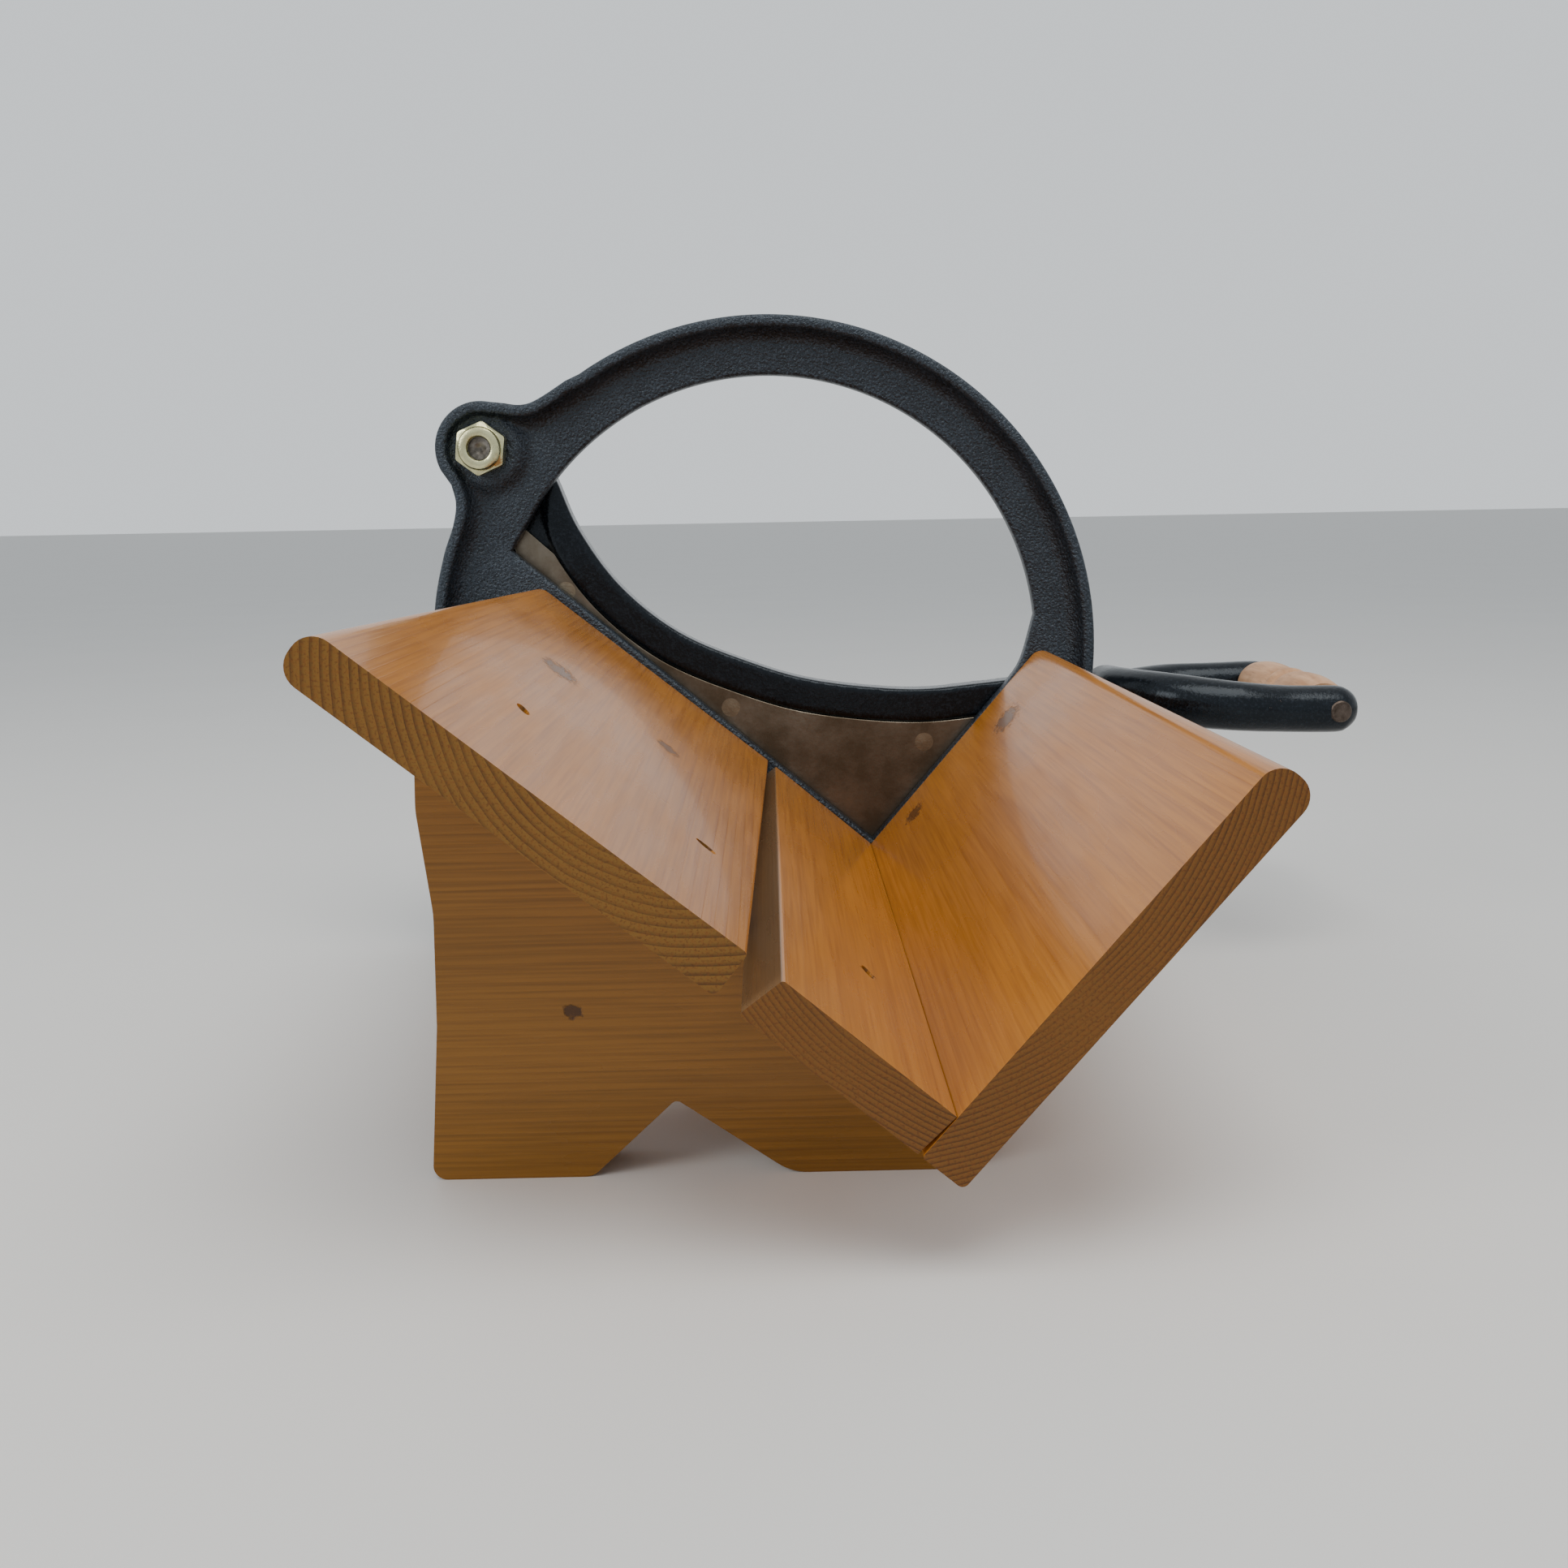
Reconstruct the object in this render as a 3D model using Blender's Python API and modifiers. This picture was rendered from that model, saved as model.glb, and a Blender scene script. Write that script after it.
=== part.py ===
"""Bread slicer: a cast-iron frame with a swinging knife, a V trough of three boards and a wooden leg.

Units are metres. +Z is up and -Y is the front, where the loaf is fed in. X = 0 and Y = 0 are the middle of the
object's box, and Z = 0 is the surface that it stands on.
"""

import math

import bmesh
import bpy
from mathutils import Matrix, Vector

GAP = 0.0003                    # between solids that touch
RUNNING_FIT = 0.00008           # between a shaft and its bore

# Trough: the valley line where the narrow and the right board meet
VALLEY = Vector((-0.0042, 0.0413))
NARROW_SLOPE = math.radians(40.5)
RIGHT_SLOPE = math.radians(49.5)
LEFT_SLOPE = math.radians(38.9)
TROUGH_FRONT = -0.18335
TROUGH_LENGTH = 0.291
TROUGH_REAR = TROUGH_FRONT + TROUGH_LENGTH
BOARD_THICKNESS = 0.013
NARROW_WIDTH = 0.0535
NARROW_BEVEL = 0.0028           # how much wider its underside is
RIGHT_WIDTH = 0.1115            # from the valley to the rounded edge
LEFT_WIDTH = 0.1232
LEFT_CORNER = Vector((-0.0502, 0.0805))   # its lower top corner, at half the trough's length
LEFT_SKEW = 0.0066              # how far its lower edge closes in on the slot from front to rear
EDGE_ROUND = 0.0055

# Frame casting
WEB_FRONT = TROUGH_REAR + GAP
WEB_BACK = WEB_FRONT + 0.0075
RIM_FRONT = WEB_FRONT - 0.009
RIM_WIDTH = 0.0042
ARCH_CENTRE = Vector((-0.0470, 0.1252))
ARCH_OUTER = 0.1363
ARCH_INNER = 0.1135
PIVOT = Vector((-0.1620, 0.2107))
BOSS_RADIUS = 0.0190
HUB_RADIUS = 0.0150
HUB_FRONT = WEB_FRONT - 0.0040
FOOT_LEFT = -0.1915
FOOT_RIGHT = 0.0870
FOOT_LENGTH = 0.0400
FOOT_ROUND = 0.0055
V_EDGE_RISE = 0.0019            # the casting's V edge above the narrow board's face, at the valley
OPENING_TIP = Vector((-0.1534, 0.1694))
LEDGE_DEPTH = 0.026
LEDGE_THICKNESS = 0.005

# Pivot bolt and lock nut, M12
SHANK_RADIUS = 0.0060
BORE_RADIUS = SHANK_RADIUS + RUNNING_FIT
ACROSS_FLATS = 0.019
NUT_HEIGHT = 0.0105
NUT_TURN = math.radians(7)       # clockwise from a corner straight up
COLLAR_HEIGHT = 0.0025
COLLAR_BORE = 0.0045
HEAD_HEIGHT = 0.0075
WASHER_RADIUS = 0.0120
WASHER_THICKNESS = 0.0025

# Knife
BLADE_FRONT = WEB_BACK + 0.0004
BLADE_THICKNESS = 0.0018
FLANGE_FRONT = BLADE_FRONT + BLADE_THICKNESS + GAP
FLANGE_BACK = FLANGE_FRONT + 0.0065
ARM_BACK = BLADE_FRONT + 0.0138
ARM_MIDDLE = (BLADE_FRONT + ARM_BACK) / 2
RIB_WIDTH = 0.0140
ARM_HUB_RADIUS = 0.0170
FLANGE_WIDTH = 0.0290
BLADE_EDGE_CENTRE = Vector((-0.0060, 0.1760))
BLADE_EDGE_RADIUS = 0.1440
RIVET_RADIUS = 0.0040
RIVET_SHANK = RIVET_RADIUS * 0.6
RIVETS = (
    Vector((-0.1325, 0.1519)),
    Vector((-0.0637, 0.1009)),
    Vector((0.0197, 0.0843)),
    Vector((0.0900, 0.0905)),
)
STOP_PIN_RADIUS = 0.0030
STOP_PIN = Vector((-0.1650, 0.1815))
STOP_PIN_DEPTH = 0.005          # in the casting

# Handle
PRONG_RADIUS = 0.0095
PRONG_REACH = 0.050             # from the arm's middle plane to each prong's axis
GRIP = Vector((0.1800, 0.1014))
ROD_RADIUS = 0.0040
GRIP_RADIUS = 0.0115
GRIP_CLEARANCE = 0.0005

# Leg
LEG_FRONT = -0.12385
LEG_THICKNESS = 0.018
NAIL_Y = LEG_FRONT + LEG_THICKNESS / 2
NAIL_RADIUS = 0.0012
NAIL_LENGTH = 0.032
SCREW_RADIUS = 0.0020
SCREW_HEAD_RADIUS = 0.0040

# The arm's upper edge, from the hub to the handle, as X, Z and the rib's width there
ARM_TOP = (
    (-0.1540, 0.2240, 0.0050),
    (-0.1435, 0.2150, 0.0050),
    (-0.1353, 0.1997, 0.0055),
    (-0.1262, 0.1777, 0.0130),
    (-0.1094, 0.1535, RIB_WIDTH),
    (-0.0854, 0.1337, RIB_WIDTH),
    (-0.0556, 0.1204, RIB_WIDTH),
    (-0.0266, 0.1117, RIB_WIDTH),
    (0.0134, 0.1072, RIB_WIDTH),
    (0.0441, 0.1092, RIB_WIDTH),
    (0.0700, 0.1118, RIB_WIDTH),
    (0.1010, 0.1130, RIB_WIDTH),
)


def clear_scene():
    for item in list(bpy.data.objects):
        bpy.data.objects.remove(item, do_unlink=True)


def material(name, colour, roughness, metallic=0.0):
    made = bpy.data.materials.new(name)
    made.use_nodes = True
    shader = made.node_tree.nodes["Principled BSDF"]
    shader.inputs["Base Color"].default_value = (*colour, 1.0)
    shader.inputs["Roughness"].default_value = roughness
    shader.inputs["Metallic"].default_value = metallic
    return made


# Outlines: lists of Vector((x, z))

def arc(centre, radius, start, end, steps):
    """Points of an arc from start to end, in degrees."""
    points = []
    for i in range(steps + 1):
        angle = math.radians(start + (end - start) * i / steps)
        points.append(centre + radius * Vector((math.cos(angle), math.sin(angle))))
    return points


def smooth(controls, steps):
    """A Catmull-Rom curve through the controls, which may carry more numbers than X and Z."""
    knots = [Vector(c) for c in controls]
    knots = [2 * knots[0] - knots[1]] + knots + [2 * knots[-1] - knots[-2]]
    points = []
    for a, b, c, d in zip(knots, knots[1:], knots[2:], knots[3:]):
        for i in range(steps):
            t = i / steps
            points.append(0.5 * (2 * b + (c - a) * t + (2 * a - 5 * b + 4 * c - d) * t * t
                                 + (3 * b - a - 3 * c + d) * t ** 3))
    points.append(knots[-2])
    return points


def rounded(corners, steps=4):
    """A closed outline from (x, z, radius) corners, each filleted with its radius."""
    outline = []
    count = len(corners)
    for i, (x, z, radius) in enumerate(corners):
        corner = Vector((x, z))
        if radius == 0:
            outline.append(corner)
            continue
        back = (Vector(corners[i - 1][:2]) - corner).normalized()
        ahead = (Vector(corners[(i + 1) % count][:2]) - corner).normalized()
        half = back.angle(ahead) / 2
        centre = corner + (back + ahead).normalized() * radius / math.sin(half)
        first = corner + back * radius / math.tan(half) - centre
        last = corner + ahead * radius / math.tan(half) - centre
        turn = first.angle_signed(last)
        for j in range(steps + 1):
            outline.append(centre + Matrix.Rotation(-turn * j / steps, 2) @ first)
    return outline


def inset(outline, distance):
    """A clockwise closed outline moved inward, with mitred corners."""
    moved = []
    count = len(outline)
    for i, point in enumerate(outline):
        before = (point - outline[i - 1]).normalized()
        after = (outline[(i + 1) % count] - point).normalized()
        normal_before = Vector((before.y, -before.x))
        normal_after = Vector((after.y, -after.x))
        share = 1 + normal_before.dot(normal_after)
        moved.append(point + (normal_before + normal_after) * distance / share)
    return moved


def below(curve, distance):
    """An open curve moved to its right-hand side by one distance, or by a share of each point's rib width."""
    moved = []
    for i, point in enumerate(curve):
        ahead = curve[min(i + 1, len(curve) - 1)].xy - curve[max(i - 1, 0)].xy
        ahead.normalize()
        moved.append(point.xy + Vector((ahead.y, -ahead.x)) * (point[2] if distance is None else distance))
    return moved


def in_space(point, y):
    return Vector((point.x, y, point.y))


# Solids

def add_object(name, mesh, look):
    made = bpy.data.objects.new(name, mesh)
    model.objects.link(made)
    if look is not None:
        mesh.materials.clear()
        mesh.materials.append(look)
    return made


def freeze(item, name, look):
    """The evaluated object as a welded mesh in world coordinates, in place of the object."""
    bpy.context.view_layer.update()
    evaluated = item.evaluated_get(bpy.context.evaluated_depsgraph_get())
    mesh = bpy.data.meshes.new_from_object(evaluated)
    mesh.transform(item.matrix_world)
    work = bmesh.new()
    work.from_mesh(mesh)
    bmesh.ops.remove_doubles(work, verts=work.verts, dist=0.00001)
    # A Boolean drops its thinnest triangles, so the holes that they leave are filled
    bmesh.ops.holes_fill(work, edges=work.edges, sides=4)
    bmesh.ops.recalc_face_normals(work, faces=work.faces)
    work.to_mesh(mesh)
    work.free()
    bpy.data.objects.remove(item, do_unlink=True)
    made = add_object(name, mesh, look)
    mesh.name = name
    return made


def plate(name, outlines, front, back, look=None):
    """Flat outlines in XZ, the later ones holes, as a plate from Y = front to Y = back."""
    curve = bpy.data.curves.new(name, "CURVE")
    curve.dimensions = "2D"
    curve.fill_mode = "BOTH"
    curve.extrude = (back - front) / 2
    for outline in outlines:
        spline = curve.splines.new("POLY")
        spline.points.add(len(outline) - 1)
        for point, place in zip(spline.points, outline):
            point.co = (place.x, place.y, 0, 1)
        spline.use_cyclic_u = True
    item = bpy.data.objects.new(name, curve)
    model.objects.link(item)
    item.rotation_euler.x = math.pi / 2
    item.location.y = (front + back) / 2
    return freeze(item, name, look)


def rod(name, start, end, radius, sides=24, look=None):
    """A cylinder between two points."""
    start, end = Vector(start), Vector(end)
    work = bmesh.new()
    bmesh.ops.create_cone(work, cap_ends=True, segments=sides, radius1=radius, radius2=radius,
                          depth=(end - start).length)
    turn = (end - start).to_track_quat("Z", "Y").to_matrix().to_4x4()
    bmesh.ops.transform(work, verts=work.verts, matrix=Matrix.Translation((start + end) / 2) @ turn)
    mesh = bpy.data.meshes.new(name)
    work.to_mesh(mesh)
    work.free()
    return add_object(name, mesh, look)


def bar(name, place, front, back, radius, sides=24, look=None):
    """A cylinder along Y, at a place in XZ."""
    return rod(name, in_space(place, front), in_space(place, back), radius, sides, look)


def turned(name, profile, centre, axis, look, steps=32):
    """A turned solid: profile points are (radius, distance along the axis), outer side first to last."""
    work = bmesh.new()
    verts = [work.verts.new((radius, 0, along)) for radius, along in profile]
    for first, second in zip(verts, verts[1:]):
        work.edges.new((first, second))
    mesh = bpy.data.meshes.new(name)
    work.to_mesh(mesh)
    work.free()
    item = add_object(name, mesh, None)
    screw = item.modifiers.new("turn", "SCREW")
    screw.steps = steps
    screw.render_steps = steps
    screw.use_merge_vertices = True
    screw.merge_threshold = 0.00001
    item.matrix_world = Matrix.Translation(centre) @ Vector(axis).to_track_quat("Z", "Y").to_matrix().to_4x4()
    return freeze(item, name, look)


def combine(target, tools, operation):
    """Booleans each tool with the target, and removes the tool."""
    name, look = target.name, target.data.materials[0] if target.data.materials else None
    for tool in tools:
        step = target.modifiers.new("step", "BOOLEAN")
        step.object = tool
        step.operation = operation
        step.solver = "EXACT"
        target.name = "working"
        target = freeze(target, name, look)
        bpy.data.objects.remove(tool, do_unlink=True)
    return target


def join(target, *tools):
    return combine(target, tools, "UNION")


def cut(target, *tools):
    return combine(target, tools, "DIFFERENCE")


def shade(item, angle=35):
    item.data.shade_smooth()
    item.data.set_sharp_from_angle(angle=math.radians(angle))
    return item


# Board frames: a face's origin, the direction up its slope and its outward normal, all in XZ

def slope_left(angle):
    return Vector((-math.cos(angle), math.sin(angle))), Vector((math.sin(angle), math.cos(angle)))


def slope_right(angle):
    return Vector((math.cos(angle), math.sin(angle))), Vector((-math.sin(angle), math.cos(angle)))


NARROW = (VALLEY, *slope_left(NARROW_SLOPE))
RIGHT = (VALLEY, *slope_right(RIGHT_SLOPE))
LEFT = (LEFT_CORNER, *slope_left(LEFT_SLOPE))


def on_board(board, along, up):
    origin, slope, normal = board
    return origin + slope * along + normal * up


def board_outline(board, corners):
    """Corners are (along, up, radius) in the board's own frame."""
    return rounded([(*on_board(board, along, up), radius) for along, up, radius in corners])


def make_narrow_board():
    outline = board_outline(NARROW, (
        (GAP, 0, 0),
        (NARROW_WIDTH, 0, 0.0008),
        (NARROW_WIDTH + NARROW_BEVEL, -BOARD_THICKNESS, 0.0008),
        (0.0014, -BOARD_THICKNESS, 0),
    ))
    return plate("narrow_board", [outline], TROUGH_FRONT, TROUGH_REAR, pine)


def make_right_board():
    outline = board_outline(RIGHT, (
        (-BOARD_THICKNESS, 0, 0.0006),
        (-BOARD_THICKNESS, -BOARD_THICKNESS, 0.0015),
        (RIGHT_WIDTH, -BOARD_THICKNESS, EDGE_ROUND),
        (RIGHT_WIDTH, 0, EDGE_ROUND),
    ))
    return plate("right_board", [outline], TROUGH_FRONT, TROUGH_REAR, pine)


def make_left_board():
    """The board is laid slightly askew, so it is sheared along its own slope."""
    outline = board_outline(LEFT, (
        (0, 0, 0.0010),
        (LEFT_WIDTH, 0, EDGE_ROUND),
        (LEFT_WIDTH, -BOARD_THICKNESS, EDGE_ROUND),
        (0, -BOARD_THICKNESS, 0.0015),
    ))
    board = plate("left_board", [outline], TROUGH_FRONT, TROUGH_REAR, pine)
    slope = LEFT[1]
    middle = (TROUGH_FRONT + TROUGH_REAR) / 2
    for vertex in board.data.vertices:
        shift = -LEFT_SKEW * (vertex.co.y - middle) / TROUGH_LENGTH
        vertex.co += in_space(slope, 0) * shift
    return board


def make_leg():
    """The leg's upper edge follows the undersides of the boards."""
    rest = -BOARD_THICKNESS - GAP
    left_end = on_board(LEFT, 0.106, rest)
    left_low = on_board(LEFT, 0.0005, rest)
    narrow_high = on_board(NARROW, NARROW_WIDTH + 0.004, rest)
    pocket = on_board(RIGHT, rest, rest)
    horn = on_board(RIGHT, 0, rest)
    outline = rounded((
        (-0.1440, 0.0000, 0.0040),
        (-0.1402, 0.0450, 0.0300),
        (-0.1392, 0.0770, 0.0400),
        (-0.1423, 0.1060, 0.0300),
        (*left_end, 0.0105),
        (*left_low, 0),
        (*narrow_high, 0),
        (*pocket, 0),
        (*horn, 0.0020),
        (0.0060, 0.0000, 0.0030),
        (-0.0430, 0.0000, 0.0150),
        (-0.0750, 0.0225, 0.0020),
        (-0.0990, 0.0000, 0.0060),
    ))
    leg = plate("front_leg", [outline], LEG_FRONT, LEG_FRONT + LEG_THICKNESS, pine)
    soften = leg.modifiers.new("soften", "BEVEL")
    soften.width = 0.0015
    soften.segments = 2
    soften.limit_method = "ANGLE"
    soften.angle_limit = math.radians(60)
    leg.name = "working"
    return freeze(leg, "front_leg", pine)


def frame_outline():
    """Clockwise from the left foot, up the outside, round the boss, over the arch and down to the right foot."""
    left_side = smooth((
        (FOOT_LEFT + 0.0010, 0.0120),
        (FOOT_LEFT, 0.0550),
        (-0.1875, 0.1100),
        (-0.1852, 0.1450),
        (-0.1803, 0.1670),
        (-0.1755, 0.1800),
        (-0.1738, 0.1890),
        (-0.1752, 0.1965),
    ), 4)
    boss = arc(PIVOT, BOSS_RADIUS, 206, 78, 14)
    dip = smooth((boss[-1], (-0.1525, 0.2287), (-0.1455, 0.2279), (-0.1385, 0.2300), (-0.1245, 0.2385)), 3)[1:-1]
    arch = arc(ARCH_CENTRE, ARCH_OUTER, 123, -4, 40)
    right_side = smooth((arch[-1], (0.0885, 0.0800), (FOOT_RIGHT, 0.0400), (FOOT_RIGHT, 0.0120)), 3)[1:]
    foot = rounded((
        (FOOT_RIGHT, 0.0120, 0),
        (FOOT_RIGHT, 0.0000, FOOT_ROUND),
        (FOOT_RIGHT - FOOT_LENGTH, 0.0000, FOOT_ROUND),
        (FOOT_RIGHT - FOOT_LENGTH - 0.010, 0.0170, 0.0060),
        (FOOT_LEFT + FOOT_LENGTH + 0.014, 0.0240, 0.0080),
        (FOOT_LEFT + FOOT_LENGTH, 0.0000, FOOT_ROUND),
        (FOOT_LEFT + 0.0010, 0.0000, FOOT_ROUND),
        (FOOT_LEFT + 0.0010, 0.0120, 0),
    ))[1:-1]
    return left_side + boss + dip + arch + right_side + foot


def opening_outline():
    """The round opening, closed below by the V in which the loaf lies."""
    top = [OPENING_TIP] + arc(ARCH_CENTRE, ARCH_INNER, 150, 7, 40)
    side = on_board(RIGHT, 0.0980, GAP)
    low_side = on_board(RIGHT, 0.0900, GAP)
    bend = smooth((top[-1], side + Vector((0.0012, 0.0040)), low_side), 4)[1:]
    # The two V edges meet where both board faces, each moved by its own rise, cross
    valley = VALLEY + NARROW[2] * V_EDGE_RISE + RIGHT[2] * GAP
    return top + bend + [valley]


def ledge(board, start, end, name):
    """A cast ledge that a board rests on, as a block behind the board's underside."""
    top = -BOARD_THICKNESS - GAP
    corners = ((start, top), (end, top), (end, top - LEDGE_THICKNESS), (start, top - LEDGE_THICKNESS))
    outline = [on_board(board, along, up) for along, up in corners]
    return plate(name, [outline], WEB_FRONT - LEDGE_DEPTH, WEB_FRONT + 0.003)


# Wood screws up through the ledges: the board, and how far up its slope
SCREW_Y = WEB_FRONT - 0.015
SCREW_PLACES = ((LEFT, 0.040), (LEFT, 0.088), (NARROW, 0.027), (RIGHT, 0.036), (RIGHT, 0.080))
LEDGES = ((LEFT, 0.028, 0.100), (NARROW, 0.015, 0.039), (RIGHT, 0.024, 0.092))
SCREW_BITE = 0.0090


def screw_line(place):
    """The bottom and the top of a wood screw's shank, below the head and in the board."""
    board, along = place
    head = in_space(on_board(board, along, -BOARD_THICKNESS - 2 * GAP - LEDGE_THICKNESS), SCREW_Y)
    tip = in_space(on_board(board, along, -BOARD_THICKNESS + SCREW_BITE), SCREW_Y)
    return head, tip


def make_frame():
    """One thick plate, hollowed from the front so that a rim stands round its edge."""
    outer = frame_outline()
    frame = plate("frame_casting", [outer, opening_outline()], RIM_FRONT, WEB_BACK, black_iron)
    frame = cut(frame, plate("hollow", [inset(outer, RIM_WIDTH)], RIM_FRONT - 0.01, WEB_FRONT))
    hub = bar("hub", PIVOT, HUB_FRONT, WEB_FRONT + 0.003, HUB_RADIUS, 32)
    ledges = [ledge(*item, "ledge") for item in LEDGES]
    frame = join(frame, hub, *ledges)
    bore = bar("bore", PIVOT, RIM_FRONT - 0.01, WEB_BACK + 0.01, BORE_RADIUS, 32)
    pin_hole = bar("pin_hole", STOP_PIN, WEB_BACK - STOP_PIN_DEPTH - GAP, WEB_BACK + 0.01, STOP_PIN_RADIUS + GAP)
    holes = []
    for place in SCREW_PLACES:
        head, tip = screw_line(place)
        reach = (tip - head).normalized() * 0.002
        holes.append(rod("hole", head - reach, tip, SCREW_RADIUS + GAP, 16))
    return shade(cut(frame, bore, pin_hole, *holes))


def make_board_screws():
    for number, place in enumerate(SCREW_PLACES, 1):
        head, tip = screw_line(place)
        length = (tip - head).length - 0.0004
        profile = ((0, length), (0.0004, length), (SCREW_RADIUS, length - 0.003), (SCREW_RADIUS, 0),
                   (SCREW_HEAD_RADIUS, 0), (SCREW_HEAD_RADIUS * 0.8, -0.0016), (0, -0.0026))
        shade(turned(f"board_screw_{number}", profile, head, tip - head, steel, 20))


def drill_for_screws(boards):
    """Blind holes in the boards for the wood screws."""
    for place in SCREW_PLACES:
        index = (LEFT, NARROW, RIGHT).index(place[0])
        head, tip = screw_line(place)
        boards[index] = cut(boards[index], rod("hole", head, tip, SCREW_RADIUS + GAP, 16))
    return boards


# Nails through the trough into the leg: name, board, how far up its slope
NAILS = (
    ("nail_left_outer", LEFT, 0.0811),
    ("nail_left_inner", LEFT, 0.0188),
    ("nail_narrow", NARROW, 0.0213),
)


def make_nails(boards, leg):
    for name, board, along in NAILS:
        normal = in_space(board[2], 0)
        top = in_space(on_board(board, along, -0.0008), NAIL_Y)
        end = top - normal * NAIL_LENGTH
        outside = top + normal * 0.005
        index = (LEFT, NARROW, RIGHT).index(board)
        hole = rod("hole", outside, end - normal * GAP, NAIL_RADIUS + GAP, 12)
        boards[index] = cut(boards[index], hole)
        hole = rod("hole", outside, end - normal * GAP, NAIL_RADIUS + GAP, 12)
        leg = cut(leg, hole)
        rod(name, top, end, NAIL_RADIUS, 12, steel)
    return leg


def hexagon(name, front, back, look):
    """A hexagonal bar on the pivot's axis, turned a little from having its corners up and down."""
    item = bar(name, PIVOT, front, back, ACROSS_FLATS / math.sqrt(3), 6, look)
    item.data.transform(Matrix.Translation((-PIVOT.x, 0, -PIVOT.y)))
    item.data.transform(Matrix.Rotation(NUT_TURN, 4, "Y"))
    item.data.transform(Matrix.Translation((PIVOT.x, 0, PIVOT.y)))
    return item


def make_pivot():
    nut_back = HUB_FRONT - GAP
    nut_front = nut_back - NUT_HEIGHT
    nut = hexagon("pivot_nut", nut_front + COLLAR_HEIGHT, nut_back, zinc)
    collar = bar("collar", PIVOT, nut_front, nut_front + COLLAR_HEIGHT + 0.001, ACROSS_FLATS / 2 * 0.93, 32)
    nut = join(nut, collar)
    thread = bar("thread", PIVOT, nut_front + COLLAR_HEIGHT, nut_back + 0.01, BORE_RADIUS, 32)
    mouth = bar("mouth", PIVOT, nut_front - 0.01, nut_front + 0.005, COLLAR_BORE)
    shade(cut(nut, thread, mouth))
    washer_front = ARM_BACK + GAP
    washer_back = washer_front + WASHER_THICKNESS
    washer = bar("pivot_washer", PIVOT, washer_front, washer_back, WASHER_RADIUS, 32, zinc)
    hole = bar("hole", PIVOT, washer_front - 0.01, washer_back + 0.01, BORE_RADIUS, 32)
    shade(cut(washer, hole))
    head_front = washer_back + GAP
    bolt = hexagon("pivot_bolt", head_front, head_front + HEAD_HEIGHT, zinc)
    shank = bar("shank", PIVOT, nut_front + COLLAR_HEIGHT + GAP, head_front + 0.002, SHANK_RADIUS, 32)
    shade(join(bolt, shank))
    shade(bar("stop_pin", STOP_PIN, WEB_BACK - STOP_PIN_DEPTH, FLANGE_BACK + 0.001, STOP_PIN_RADIUS, look=steel))


def arm_curve():
    return smooth(ARM_TOP, 5)


def hub_plate_outline():
    """The arm's thin part: the flange behind the blade, widening into the hub."""
    top = arm_curve()
    low = below(top, FLANGE_WIDTH)
    first = next(i for i, point in enumerate(low) if top[i].x > -0.115)
    heel = [Vector((-0.1560, 0.1655)), STOP_PIN, Vector((-0.1690, 0.1950))]
    return below(top, 0.0010) + low[:first:-1] + heel


def fork_path():
    """The handle's path in plan, from the rear prong round to the front one, as X, Y, Z and a thickness factor.

    The rear branch runs lower than the front one, and both end in a rounded tip past the grip.
    """
    tip = [(GRIP.x, PRONG_REACH, GRIP.y, 1.0), (GRIP.x + 0.0045, PRONG_REACH, GRIP.y, 0.90),
           (GRIP.x + 0.0080, PRONG_REACH, GRIP.y, 0.60), (GRIP.x + 0.0095, PRONG_REACH, GRIP.y, 0.20)]
    front = smooth([(0.0995, 0.0, 0.1062, 1.0), (0.1030, 0.0200, 0.1060, 1.08), (0.1160, 0.0400, 0.1054, 1.12),
                    (0.1380, PRONG_REACH, 0.1035, 1.06), (0.1600, PRONG_REACH, 0.1018, 1.0)] + tip, 3)
    rear = smooth([(0.0995, 0.0, 0.1062, 1.0), (0.1030, 0.0200, 0.1015, 0.95), (0.1160, 0.0400, 0.0995, 0.98),
                   (0.1380, PRONG_REACH, 0.1000, 1.06), (0.1600, PRONG_REACH, 0.1010, 1.0)] + tip, 3)
    back_half = [Vector((x, ARM_MIDDLE + y, z, share)) for x, y, z, share in reversed(rear)]
    front_half = [Vector((x, ARM_MIDDLE - y, z, share)) for x, y, z, share in front[1:]]
    return back_half + front_half


def make_fork():
    curve = bpy.data.curves.new("fork", "CURVE")
    curve.dimensions = "3D"
    curve.bevel_depth = PRONG_RADIUS
    curve.bevel_resolution = 4
    curve.use_fill_caps = True
    path = fork_path()
    spline = curve.splines.new("POLY")
    spline.points.add(len(path) - 1)
    for point, place in zip(spline.points, path):
        point.co = (place[0], place[1], place[2], 1)
        point.radius = place[3]
    item = bpy.data.objects.new("fork", curve)
    model.objects.link(item)
    return freeze(item, "fork", None)


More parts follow.
